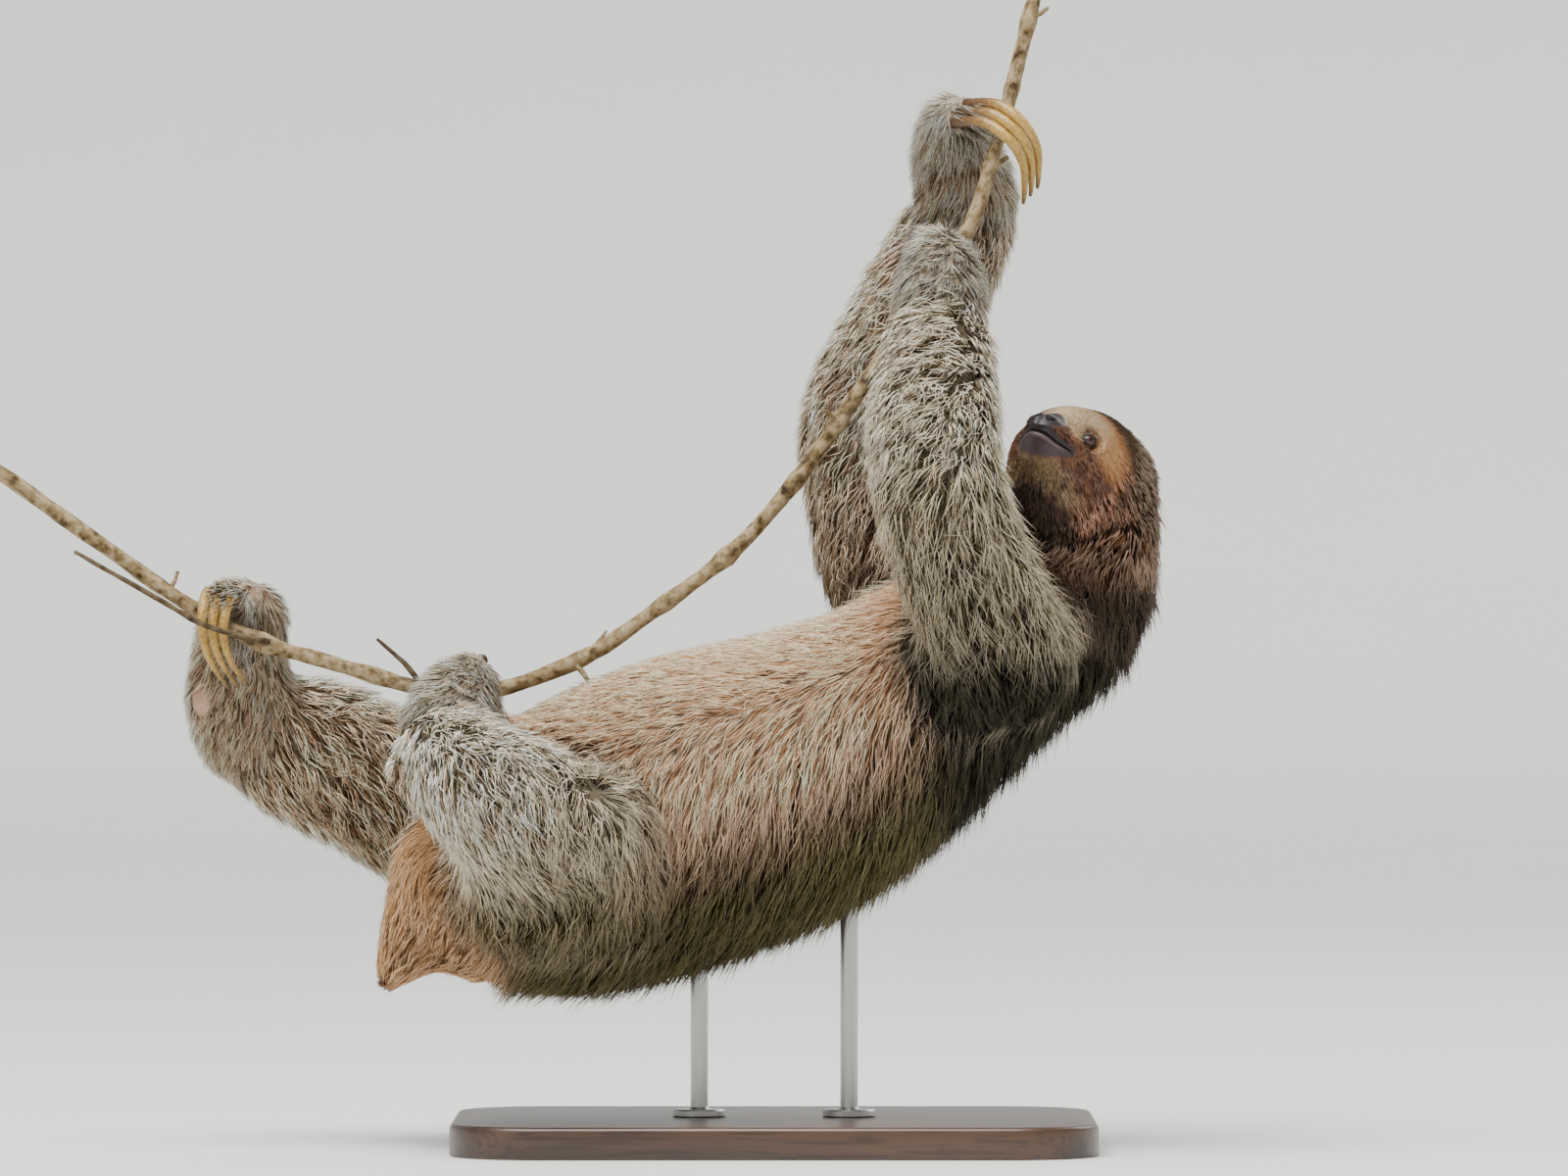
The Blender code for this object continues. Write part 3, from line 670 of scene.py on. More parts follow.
def claw_roots():
    """Where the claws leave each hand or foot, and the step from there to the next place on their route."""
    for end, (route, _, _) in CLAW_ROUTES.items():
        yield end, np.array(route[0]), np.array(route[1]) - np.array(route[0])


def by_claws(points):
    """1 where the claws leave a hand or foot: there the skin lies high, so that fur covers their roots."""
    share = np.zeros(len(points))
    for _, root, ahead in claw_roots():
        share = np.maximum(share, hump(np.linalg.norm(points - root - 0.2 * ahead, axis=1), 0.014))
    return share


def claw_lead(points):
    """The way the nearest claws leave the hand or foot, at each place."""
    lead, best = np.zeros_like(points), np.full(len(points), 9.0)
    for _, root, ahead in claw_roots():
        away = distance(points, root)
        nearer = away < best
        best[nearer] = away[nearer]
        lead[nearer] = unit(ahead)
    return lead


def by_heels(points, inner, outer):
    """1 within the inner distance of a heel, 0 beyond the outer."""
    return smoothstep(outer, inner, np.min([distance(points, heel) for heel in HEELS], axis=0))


def sink(mesh, depth, rounds=6):
    """Moves the skin in under the coat, a little at a time."""
    ends = edge_ends(mesh)
    for _ in range(rounds):
        points = coordinates(mesh) - vertex_normals(mesh) * (depth / rounds)[:, None]
        evened = spread(points, ends, 2)
        share = smoothstep(0.0008, 0.004, depth)[:, None]
        set_coordinates(mesh, points + (evened - points) * share)


def fold_rise(points, parts):
    """How far the skin rises or falls, in metres, by the folds at bent wrists and ankles."""
    rise = np.zeros(len(points))
    for upper, lower, place, across in FOLDS:
        offset = (points - np.array(place)) @ unit(np.array(across))
        groove = 0.0040 * hump(offset, 0.0045) - 0.0018 * hump(offset + 0.010, 0.006)
        rise -= groove * of_part(parts, upper, lower)
    return rise


def refine(mesh, chosen):
    """Halves the grid where chosen says so."""
    bm = bmesh.new()
    bm.from_mesh(mesh)
    bm.verts.ensure_lookup_table()
    picked = [edge for edge in bm.edges if chosen[edge.verts[0].index] and chosen[edge.verts[1].index]]
    bmesh.ops.subdivide_edges(bm, edges=picked, cuts=1, use_grid_fill=True)
    return mesh_of(bm, "skin")


def eye_view(head, side):
    """Places seen along one eye's axis: (across, up, out), in millimetres from the eye's centre."""
    mirror = np.array([1.0, side, 1.0])
    axis = np.array(EYE_AXIS)
    up = unit(np.cross(axis, np.cross([0.0, 0.0, 1.0], axis)))
    across = np.cross(up, axis)
    offset = head * mirror * 1000.0 - np.array(EYE_PLACE) * 1000.0
    return offset @ across, offset @ up, offset @ axis


def lid_reach(head, side):
    """How many openings away from the eye's middle a place lies: 1 at the edge of the lids."""
    across, up, out = eye_view(head, side)
    turned_across = across * cos(LID_TILT) + up * sin(LID_TILT)
    turned_up = up * cos(LID_TILT) - across * sin(LID_TILT)
    reach = np.hypot(turned_across / LID_HALF_WIDTH, turned_up / LID_HALF_HEIGHT)
    return np.where(out > 0.0, reach, 99.0)


def on_muzzle(head):
    """Places as (forward, left, crown) in millimetres from the nose's middle, a little aside of the tip."""
    return in_millimetres(head - np.array(NOSE_ASIDE))


def mouth_offset(head):
    """How far above the line of the mouth a place lies, in millimetres, and how far round the jaw."""
    forward, left, crown = on_muzzle(head)
    turn = np.degrees(np.arctan2(np.abs(left), forward - MOUTH_CENTRE))
    return crown - np.interp(turn, *zip(*MOUTH_LINE)), turn


def nose_share(head):
    """1 on the nose's bare pad, 0 outside it."""
    forward, left, crown = on_muzzle(head)
    across = np.abs(left) / np.interp(crown, (-9, -4, 1, 7, 14), (7.5, 10.0, 11.5, 11.0, 7.0))
    up = np.where(crown > 2.0, (crown - 2.0) / 13.5, (2.0 - crown) / 8.5)
    return smoothstep(1.08, 0.92, np.hypot(across, up)) * (forward > -22.0)


def mouth_skin(head):
    """1 on the bare skin round the mouth, widest under the chin, and how far off the lower lip's ridge is."""
    above, turn = mouth_offset(head)
    chin = np.interp(turn, (0, 25, 45, 58), (-8.5, -8.0, -5.0, -2.5))
    lip = np.interp(turn, (0, 15, 40, 50, 58), (3.0, 4.5, 4.0, 3.0, 1.6))
    share = smoothstep(chin - 1.2, chin + 1.2, above) * smoothstep(lip + 1.0, lip - 1.0, above)
    share *= smoothstep(60.0, 53.0, turn) * (head[:, 0] > -0.036)
    return share, np.abs(above + 1.7)


def behind_ruff(head):
    """Millimetres in front of the line where the ruff begins, from the throat up behind the cheek."""
    forward, _, crown = in_millimetres(head)
    return forward - np.interp(crown, (-42, -35, -22, -6, 12), (-46, -58, -66, -68, -73))


def ear_fold(head):
    """1 in the fold of the coat where each ear lies hidden; the face's markings paint shade into it."""
    forward, left, crown = in_millimetres(head)
    down = (forward + 61.0) * 0.45 + (crown - 9.0) * 0.89
    aside = (forward + 61.0) * 0.89 - (crown - 9.0) * 0.45
    return np.exp(-((aside / 5.0) ** 2) - (down / 12.0) ** 2) * (np.abs(left) > 22.0)


def sculpted(points, normals):
    """The face: a slim muzzle, nose pad, nostrils, lips, the folds behind the cheeks, and lids."""
    forward, left, crown = on_muzzle(head_coordinates(points))
    slim = np.where(left < 0.0, 0.26, 0.12) * smoothstep(-36.0, -18.0, forward) * smoothstep(5.0, -7.0, crown)
    points = points - np.array(LEFT) * (left * slim * 0.001)[:, None]
    head = head_coordinates(points)
    forward, left, crown = on_muzzle(head)
    across, front = np.abs(left), forward > -12.0
    rise = 1.8 * nose_share(head)
    rise -= 0.6 * (hump(across, 0.8) * smoothstep(-8.0, -6.0, crown) * smoothstep(6.0, 2.0, crown))
    rim = np.hypot((across - NOSTRIL_ASIDE) / 2.7, (crown - NOSTRIL_HEIGHT) / 2.4)
    rise += 0.5 * hump(rim - 1.25, 0.3) * front
    above, turn = mouth_offset(head)
    lips = smoothstep(56.0, 46.0, turn) * (forward > -40.0)
    rise -= 1.7 * hump(above, 0.55) * lips
    rise += 0.55 * hump(above + 2.0, 1.2) * lips
    rise += 0.35 * hump(above - 1.6, 0.9) * lips
    rise -= 0.7 * hump(np.hypot(above, (turn - MOUTH_CORNER) * 0.45), 1.5) * (forward > -40.0)
    rise -= 3.0 * hump(behind_ruff(head) - 2.0, 4.0) * smoothstep(30.0, 15.0, in_millimetres(head)[2])
    rise -= 2.5 * ear_fold(head)
    points = points + normals * (rise * 0.001)[:, None]
    pit = np.hypot((across - NOSTRIL_ASIDE) / 2.1, (crown - NOSTRIL_HEIGHT) / 1.8)
    inward = -np.array(FORWARD) + np.sign(left)[:, None] * np.array(LEFT) * 0.25
    points = points + inward * (np.exp(-(pit**3)) * front * 0.0040)[:, None]
    return with_lids(points)


def with_lids(points):
    """The lids, drawn over the front of each eyeball, and the skin inside their opening sunk behind it."""
    for side in SIDES:
        head = head_coordinates(points)
        across, up, out = eye_view(head, side)
        reach = lid_reach(head, side)
        away = np.hypot(across, up)
        ball = np.sqrt(np.maximum(EYE_RADIUS**2 - away**2, 0.0))
        lid = ball + 0.55 + 0.25 * hump(reach - 1.15, 0.15) - 0.4 * hump(reach - LID_CREASE, 0.16)
        near = smoothstep(8.5, 4.6, away) * (out > 0.0)
        target = np.where(reach < 1.0, ball - 1.1, out + (lid - out) * near)
        moved = np.where((away < 8.5) & (out > 0.0), target - out, 0.0)
        axis = np.array(EYE_AXIS) * np.array([1.0, side, 1.0])
        points = points + (axis @ HEAD_AXES) * (moved * 0.001)[:, None]
    return points


def on_head(points):
    """Which of the points belong to the head."""
    near = np.linalg.norm(head_coordinates(points) + (0.045, 0.0, 0.0), axis=1) < 0.080
    found = np.zeros(len(points), bool)
    found[near] = of_part(nearest_parts(points[near]), "head")
    return found


def face_refined(mesh):
    """The skin on a finer grid over the face, and finest round eyes, nostrils and mouth."""
    for back, up, aside in ((-75.0, 45.0, 45.0), (-44.0, 32.0, 34.0), (-34.0, 26.0, 30.0)):
        points = coordinates(mesh)
        head = head_coordinates(points)
        forward, left, crown = in_millimetres(head)
        chosen = (forward > back) & (np.abs(crown) < up) & (np.abs(left) < aside) & (forward < 20.0)
        if back == -34.0:
            above, turn = mouth_offset(head)
            eyes = np.minimum(*[np.hypot(*eye_view(head, side)[:2]) for side in SIDES]) < 8.0
            mouth = (np.abs(above) < 4.5) & (turn < 66.0)
            nose = (np.abs(left) < 11.0) & (np.abs(crown) < 9.0)
            chosen &= eyes | mouth | nose
        mesh = refine(mesh, chosen & on_head(points))
        points = coordinates(mesh)
        evened = spread(points, edge_ends(mesh), 2)
        set_coordinates(mesh, points + (evened - points) * on_head(points)[:, None])
    return mesh


# ---------------------------------------------------------------- the lie and the markings of the coat
class Body:
    """The skin with what the coat needs to know at each of its vertices."""

    def __init__(self, mesh):
        self.mesh = mesh
        self.points = coordinates(mesh)
        self.normals = vertex_normals(mesh)
        self.ends = edge_ends(mesh)
        self.head = head_coordinates(self.points)
        self.around = trunk_position(self.points)
        self.parts = values_of(mesh.attributes["body_part"].data, "value", 1, np.int32)
        self.depth = values_of(mesh.attributes["coat_depth"].data, "value", 1)
        self.of_head = of_part(self.parts, "head")
        self.of_trunk = of_part(self.parts, "trunk")

    def on(self, *kinds):
        """1 at the vertices of these parts, evened out at their borders."""
        row = np.array([name.startswith(kinds) for name in FLESH], float)
        return spread(row[self.parts], self.ends, 8)

    def along_skin(self, flow):
        return flow - self.normals * along(flow, self.normals)[:, None]

    def flow(self):
        """The lie of the coat: one direction along the skin at each vertex."""
        flow = self.lean_of_parts()
        low_arm = of_part(self.parts, "upper_arm_left", "upper_arm_right")
        low_arm = low_arm * smoothstep(0.40, 0.315, self.points[:, 2])
        flow = flow + low_arm[:, None] * (0.75, 0.0, -0.7)
        back, up = (
            np.interp(self.around, (-0.9, -0.2, 0.35, 0.75), row)
            for row in ((-0.55, -0.15, -0.6, -1.0), (-0.75, -1.0, -0.8, -0.3))
        )
        flow[self.of_trunk] = np.stack([back, 0.0 * back, up], axis=1)[self.of_trunk]
        offset = self.points - np.array(KNEE_WHORL)
        near = (hump(np.linalg.norm(offset, axis=1), WHORL_REACH) * self.on(*WHORL_PARTS))[:, None]
        flow = unit(flow) * (1.0 - near) + unit(unit(offset) + WHORL_LEAN) * near * 1.2
        near = hump(behind_ruff(self.head) + 9.0, 11.0) * self.on("neck", "head")
        flow = unit(flow) + near[:, None] * (-1.0, 0.0, 0.35)
        for end, root, ahead in claw_roots():
            away = np.linalg.norm(self.points - root - 0.5 * ahead, axis=1)
            near = (hump(away, 0.013) * self.on(end))[:, None]
            flow = unit(flow) * (1.0 - near) + unit(ahead) * near * 1.3
        for _ in range(6):
            flow = spread(unit(self.along_skin(flow)), self.ends, 3)
        return unit(self.along_skin(flow))

    def lean_of_parts(self):
        """Each part's own direction, from its far end toward the body and leaning with gravity."""
        wanted = np.zeros((len(FLESH), 3))
        for limb, places in JOINTS.items():
            kinds, side = ARM if limb.startswith("arm") else LEG, limb.split("_")[1]
            for kind, start, end in zip(kinds, places, places[1:]):
                toward = unit(np.array(start) - np.array(end))
                wanted[FLESH.index(f"{kind}_{side}")] = toward + LIMB_FALL[kind]
        wanted[FLESH.index("neck")] = (-0.55, 0.0, -0.85)
        wanted[FLESH.index("tail")] = unit(np.array(TAIL_TIP - TAIL_BASE))
        wanted[FLESH.index("head")] = np.array([-0.1, 0.0, -0.35]) - np.array(FORWARD)
        return wanted[self.parts]

    def colour(self, coat):
        """The coat's markings: one colour at each vertex, for skin and tufts alike."""
        flank = np.tile(np.array(coat.flank), (len(self.points), 1))
        cheek = np.tile(np.array(coat.cheek), (len(self.points), 1))
        made = self.marked(flank, coat, self.body_markings())
        face = self.marked(cheek, coat, self.face_markings())
        return made + (face - made) * self.on("head")[:, None]

    def marked(self, base, coat, markings):
        """Tones of the coat laid over the base one after another, each as strongly as its share says."""
        for name, share in markings:
            base = base + (np.array(getattr(coat, name)) - base) * np.clip(share, 0.0, 1.0)[:, None]
        return base

    def ruff(self):
        ahead, crown = behind_ruff(self.head), in_millimetres(self.head)[2]
        return smoothstep(2.0, -4.0, ahead) * smoothstep(-24.0, -12.0, ahead) * smoothstep(26.0, 8.0, crown)

    def body_markings(self):
        """The tones that lie over the flanks' tone, from the belly outwards, and how strong each is."""
        x, y, z = self.points.T
        around = self.around
        arms, thigh, near_leg = self.on(*ARM), self.on("thigh"), self.on("thigh_left", "shank_left")
        limbs = self.on(*ARM, *LEG)
        hands = self.on("hand", "foot") * 0.95
        hands = hands + self.on("shank") * smoothstep(-0.11, -0.15, x) * 0.9 + self.on("forearm") * 0.35
        side = np.sign(y) * np.where(np.abs(y) > 0.012, 1.0, 0.0)
        inner = limbs * smoothstep(-0.1, 0.8, -self.normals[:, 1] * side)
        inner = inner * smoothstep(0.30, 0.34, z + 0.5 * (x < 0.0))
        by_whorl = smoothstep(0.034, 0.012, distance(self.points, KNEE_WHORL))
        tail, by_tip = self.on("tail"), smoothstep(0.022, 0.004, distance(self.points, TAIL_TIP))
        return (
            ("belly", smoothstep(-0.30, 0.25, around)),
            ("rump", smoothstep(0.045, 0.095, x) * smoothstep(-0.1, 0.5, around) * 0.8),
            # Olive low on the back: partly algae, partly painted shade on the underside.
            ("olive", smoothstep(-0.15, -0.6, around)),
            ("rump", smoothstep(-0.120, -0.165, x)),
            # Painted shade on the chest's sides and back, under the shoulders.
            ("shade", smoothstep(0.070, 0.115, x) * smoothstep(0.45, -0.3, around)),
            ("grey", limbs),
            ("frost", hands),
            ("belly", inner * 0.45),
            ("rump", inner * (x < 0.0) * 0.5),
            # Olive low on the arms: painted shade on their undersides.
            ("olive", arms * smoothstep(0.40, 0.31, z) * 0.55),
            # Painted shade low on the arms, under the shoulders.
            ("shade", arms * smoothstep(0.312, 0.272, z)),
            ("flank", self.on("thigh_left") * 0.7),
            ("olive", near_leg * by_whorl * 0.5),
            ("rump", thigh * smoothstep(0.20, 0.15, z) * smoothstep(-0.12, -0.18, x)),
            # Olive low on the near leg: painted shade on its underside.
            ("olive", near_leg * smoothstep(0.200, 0.145, z) * 0.85),
            ("rump", tail),
            ("tail_tip", tail * by_tip),
            # Olive in the grooves at the bent wrists and ankle: painted shade in the creases.
            ("olive", smoothstep(0.0, -0.003, fold_rise(self.points, self.parts)) * 0.6),
            ("heel", self.heels()),
            ("nape", self.on("neck")),
            ("ruff", self.on("neck") * self.ruff()),
        )

    def face_markings(self):
        """The tones that lie over the cheeks' tone, and how strong each is."""
        forward, _, crown = in_millimetres(self.head)
        ahead, back = behind_ruff(self.head), forward - 1.5 * crown
        brow = smoothstep(3.0, 11.0, crown) * smoothstep(-50.0, -38.0, forward)
        brow = brow * smoothstep(-92.0, -68.0, back)
        mottle = [noise.fractal(Vector(place) * 170.0, 1.0, 2.0, 3) for place in self.points[self.of_head]]
        patches = np.zeros(len(forward))
        patches[self.of_head] = smoothstep(-0.05, 0.35, np.array(mottle))
        patches = patches * smoothstep(-62.0, -52.0, forward) * smoothstep(12.0, 4.0, crown)
        stripe = np.minimum(*[self.stripe(side) for side in SIDES])
        seam = smoothstep(12.0, 4.0, ahead) * smoothstep(-2.0, 2.0, ahead) * smoothstep(10.0, -4.0, crown)
        return (
            ("crown", smoothstep(-66.0, -90.0, back)),
            ("nape", smoothstep(-84.0, -104.0, forward)),
            ("brow", brow),
            ("bridge", brow * smoothstep(-32.0, -19.0, forward)),
            ("chin", smoothstep(-9.0, -15.0, crown) * smoothstep(-46.0, -32.0, forward) * 0.85),
            # Painted shade under the head.
            ("throat", smoothstep(-18.0, -26.0, crown)),
            ("stripe", (0.75 - 0.35 * smoothstep(-9.0, -15.0, crown)) * patches),
            ("stripe", 0.9 * hump(stripe, 4.6)),
            ("ruff", self.ruff()),
            # Painted shade in the groove between the head and its ruff.
            ("throat", seam),
            # Painted shade in the fold over each ear.
            ("shade", 0.95 * ear_fold(self.head - (0.007, 0.0, 0.0))),
        )

    def stripe(self, side):
        """Millimetres from the dark stripe that runs from an eye back over the cheek."""
        start = np.array(EYE_PLACE) * (1.0, side, 1.0) * 1000.0
        run = np.array([-16.0, 9.0 * side, -12.0])
        offset = self.head * 1000.0 - start
        share = np.clip((offset @ run) / (run @ run), -0.25, 1.0)
        return np.linalg.norm(offset - share[:, None] * run, axis=1)

    def bare(self):
        """Where no hair grows: 1 on the nose, round the mouth, on the lids and the pale heels."""
        share = np.maximum(nose_share(self.head), mouth_skin(self.head)[0] > 0.6)
        for side in SIDES:
            share = np.maximum(share, lid_reach(self.head, side) < LID_BARE)
        return np.maximum(share * self.of_head, self.heels() > 0.7)

    def heels(self):
        """1 on the pale bare skin of the heels."""
        return by_heels(self.points, 0.005, 0.011)


# ---------------------------------------------------------------- the coat
# Each piece of the coat: its zones, its tufts, the rings of each tuft, the record's slot, and its meshes.
COAT_PIECES = {
    "coat_trunk": (("trunk",), 47000, 2, "coat_belly", 3),
    "coat_arm_left": (("upper_arm_left", "forearm_left"), 16000, 2, "coat_grey", 1),
    "coat_arm_right": (("upper_arm_right", "forearm_right"), 15000, 2, "coat_grey", 1),
    "coat_leg_left": (("thigh_left", "shank_left"), 14000, 2, "coat_grey", 1),
    "coat_leg_right": (("thigh_right", "shank_right"), 13000, 2, "coat_grey", 1),
    "coat_neck": (("neck",), 8500, 2, "coat_neck", 1),
    "coat_tail": (("tail",), 4000, 2, "coat_tail", 1),
    "coat_head": (("head",), 12000, 2, "coat_head", 1),
    "coat_face": (("face",), 25000, 1, "coat_head", 1),
    "coat_hands": (("hand",), 13000, 1, "coat_grey", 1),
    "coat_feet": (("foot",), 13000, 1, "coat_grey", 1),
}
FACE_BACK = -0.046  # where the face's short coat begins, forward of the nose tip
# For each kind of part: a tuft's length and its share of the full width, how far a lock's tips draw
# together, how high the coat stands, how much paler or darker single tufts are, and how far they stray.
HAIR = {
    "trunk": (0.029, 0.86, 0.24, 0.85, 0.95, 0.6), "upper_arm": (0.026, 0.92, 0.35, 1.0, 1.25, 1.3),
    "forearm": (0.020, 0.88, 0.30, 0.95, 1.3, 1.3), "hand": (0.015, 0.85, 0.3, 1.45, 1.25, 0.9),
    "thigh": (0.029, 1.05, 0.40, 1.0, 1.2, 0.9), "shank": (0.023, 0.92, 0.35, 0.95, 1.25, 1.0),
    "foot": (0.014, 0.85, 0.3, 1.4, 1.2, 0.9), "neck": (0.028, 0.85, 0.40, 1.0, 1.1, 1.0),
    "tail": (0.021, 0.95, 0.4, 0.9, 0.8, 0.7), "head": (0.0, 0.0, 0.25, 0.9, 1.0, 0.6),
}
# How far behind the nose tip, and how long or wide the hair is there.
FACE_LENGTHS = (0.0, 0.02, 0.035, 0.055, 0.075, 0.095), (0.0028, 0.0040, 0.0065, 0.0105, 0.016, 0.024)
FACE_WIDTHS = (0.0, 0.03, 0.055, 0.095), (0.5, 0.7, 0.9, 1.0)
RING_WIDTHS = (0.8, 1.0)
# Dark roots are painted shade deep in the coat; the paler tips are the hair's own colour.
TUFT_SHADES = (0.34, 0.88, 1.2)  # from root to tip
PALE_SHARE, DARK_SHARE, STRAY_SHARE = 0.42, 0.36, 0.04
LOCK_TUFTS, LOCK_REACH = 9, (0.012, 0.005)  # tufts to a lock, and how far from its leader they still join it
DEEP_COAT = 0.008  # where the coat is deeper than this, tufts stray and hang
ROOT_DEPTH = 0.0006
PATCH = 0.003  # each tuft's size on the skin's map


class Coat:
    """Grows tufts from the skin along the lie of the coat."""

    def __init__(self, body, settings, seed):
        self.body = body
        self.rng = np.random.default_rng(seed)
        self.flow = body.flow()
        self.colour = body.colour(settings)
        self.bare = body.bare()
        self.zones = np.where(body.of_head & (body.head[:, 0] > FACE_BACK), len(FLESH), body.parts)
        self.measure_hair(settings.width)
        self.read_triangles()
        self.tree = KDTree(len(body.points))
        for index, point in enumerate(body.points):
            self.tree.insert(point, index)
        self.tree.balance()

    def measure_hair(self, full_width):
        """How long, wide, matted, high, varied and wild the coat is at each vertex of the skin."""
        body, forward, crown = self.body, self.body.head[:, 0], self.body.head[:, 2]
        length, width, pull, height, contrast, wild = (
            part_table(dict(zip(HAIR, column)), body.parts, body.ends, 0) for column in zip(*HAIR.values())
        )
        top = smoothstep(0.0, 0.7, body.around) * body.of_trunk
        under = smoothstep(-0.2, -0.8, body.around) * body.on("trunk", "neck")
        length = length * (1.0 - 0.36 * top)
        width = width * (1.0 - 0.15 * top)
        height = height * (1.0 - 0.35 * top) * (1.0 + 0.40 * under)
        hangs = smoothstep(0.1, -0.5, body.normals[:, 2])
        height = height * (1.0 + 0.8 * body.on("neck", "thigh_left") * hangs)
        contrast = contrast * (1.0 - 0.60 * smoothstep(-0.3, 0.5, body.around) * body.of_trunk)
        brow = smoothstep(0.002, 0.010, crown) * smoothstep(-0.055, -0.038, forward) * body.of_head
        contrast = contrast * (1.0 - 0.70 * brow) * (1.0 + 0.4 * body.of_head * (1.0 - brow))
        far_cheek = body.of_head * smoothstep(-0.010, -0.020, body.head[:, 1])
        far_cheek = far_cheek * smoothstep(-0.020, -0.030, forward)
        height = height * (1.0 + 0.9 * far_cheek * smoothstep(0.012, 0.0, crown))
        length = length * (1.0 - 0.45 * by_heels(body.points, 0.010, 0.022))
        ahead = behind_ruff(body.head)
        face_length = np.interp(-forward, *FACE_LENGTHS)
        face_length = face_length * (1.0 - 0.5 * smoothstep(14.0, 2.0, ahead) * (ahead > 0.0))
        self.length = spread(np.where(body.of_head, face_length, length), body.ends, 8)
        self.length = np.where(body.of_head & (forward > -0.04), face_length, self.length)
        width = np.where(body.of_head, np.interp(-forward, *FACE_WIDTHS), width)
        self.width = spread(width, body.ends, 8) * full_width
        self.pull, self.height, self.contrast, self.wild = (
            spread(column, body.ends, 10) for column in (pull, height, contrast, wild)
        )

    def read_triangles(self):
        """The skin's triangles: their corners, their areas, and their corners' places on the skin's map."""
        mesh = self.body.mesh
        mesh.calc_loop_triangles()
        self.corners = values_of(mesh.loop_triangles, "vertices", 3, np.int32)
        loops = values_of(mesh.loop_triangles, "loops", 3, np.int32)
        self.corner_uvs = values_of(mesh.uv_layers["OFBake"].data, "uv", 2)[loops]
        first, second, third = (self.body.points[self.corners[:, i]] for i in range(3))
        self.areas = 0.5 * np.linalg.norm(np.cross(second - first, third - first), axis=1)

    def nearest(self, places):
        find = self.tree.find
        return np.array([find(place)[1] for place in places])

    def roots(self, kinds, count):
        """So many roots on the parts of these kinds, where hair grows, denser where it is short."""
        zones = self.zones[self.corners[:, 0]]
        chosen = np.array([name.startswith(kinds) for name in (*FLESH, "face")])[zones]
        crowded = (0.010 / (self.length[self.corners].mean(axis=1) + 0.004)) ** 0.8
        crowded = crowded * (1.0 + 2.0 * by_claws(self.body.points)[self.corners[:, 0]])
        weight = self.areas * chosen * crowded * (1.0 - self.bare[self.corners].max(axis=1))
        picked = self.rng.choice(len(weight), count, p=weight / weight.sum())
        shares = self.rng.dirichlet((1.0, 1.0, 1.0), count)
        return picked, shares

    def at_roots(self, values, picked, shares):
        """The vertices' values at places inside the picked triangles."""
        shares = shares.reshape(*shares.shape, *[1] * (values.ndim - 1))
        return (values[self.corners[picked]] * shares).sum(axis=1)

    def grown(self, kinds, count, rings):
        """The centre lines of the tufts, with what each needs to be drawn."""
        rng, body = self.rng, self.body
        picked, shares = self.roots(kinds, count)
        roots = self.at_roots(body.points, picked, shares)
        normals = unit(self.at_roots(body.normals, picked, shares))
        lengths = self.at_roots(self.length, picked, shares) * rng.uniform(0.7, 1.25, count)
        depths = self.at_roots(body.depth, picked, shares)
        uvs = (self.corner_uvs[picked] * shares[:, :, None]).sum(axis=1)

        leader = self.locks(roots, count)
        pull = self.at_roots(self.pull, picked, shares)
        kind = rng.random(count)
        wild = self.at_roots(self.wild, picked, shares)
        stray = (kind < STRAY_SHARE) & (depths > DEEP_COAT)
        curl = wild * (rng.normal(0.0, 0.28, count)[leader] + rng.normal(0.0, 0.12, count))
        turn = wild * (rng.normal(0.0, 0.26, count)[leader] + rng.normal(0.0, 0.20, count)) - curl
        turn = turn + stray * rng.normal(0.0, 0.35, count)
        lift = np.where(kind < PALE_SHARE, 0.15, 0.0) - np.where(kind > 1.0 - DARK_SHARE, 0.12, 0.0)
        lift = lift + 0.3 * stray
        height = (rng.uniform(0.5, 1.0, count) + lift) * self.at_roots(self.height, picked, shares)

        lead = claw_lead(roots)
        sleeve = by_claws(roots) > 0.45
        roots = roots + lead * (sleeve * rng.uniform(-0.002, 0.016, count))[:, None]
        paths = [roots - normals * ROOT_DEPTH]
        place = roots
        near = self.nearest(place)
        for step in range(1, rings + 1):
            normal, lie = body.normals[near], self.flow[near]
            turned = lie * np.cos(turn)[:, None] + np.cross(normal, lie) * np.sin(turn)[:, None]
            fall = 0.35 * step / rings * (normal[:, 2] < 0.5)
            heading = unit(turned + normal * 0.2 - np.outer(fall, (0.0, 0.0, 1.0)))
            heading = np.where(sleeve[:, None], unit(lead + 0.4 * turned + 0.22 * normals), heading)
            stride = lengths / rings
            place = place + heading * stride[:, None]
            near = self.nearest(place)
            normal = body.normals[near]
            above = along(place - body.points[near], normal)
            wanted = depths * height * (step / rings) ** 0.75 + 0.0004
            shift = np.clip(wanted - above, -0.55 * stride, 0.55 * stride)
            hangs = smoothstep(-0.1, -0.7, normal[:, 2]) * (depths > DEEP_COAT)
            shift = np.where(shift < 0.0, shift * (1.0 - 0.75 * hangs), shift) * ~sleeve
            place = place + normal * shift[:, None]
            turn = turn + 2.0 * curl
            paths.append(place)
        paths = np.stack(paths, axis=1)
        drawn = np.linspace(0.0, 1.0, rings + 1) ** 1.3
        offset = paths[leader] - paths
        close = smoothstep(*LOCK_REACH, np.linalg.norm(offset[:, 0], axis=1)) * ~stray * pull
        paths = paths + offset * drawn[None, :, None] * close[:, None, None]
        return paths, normals, uvs, picked, shares, leader, kind

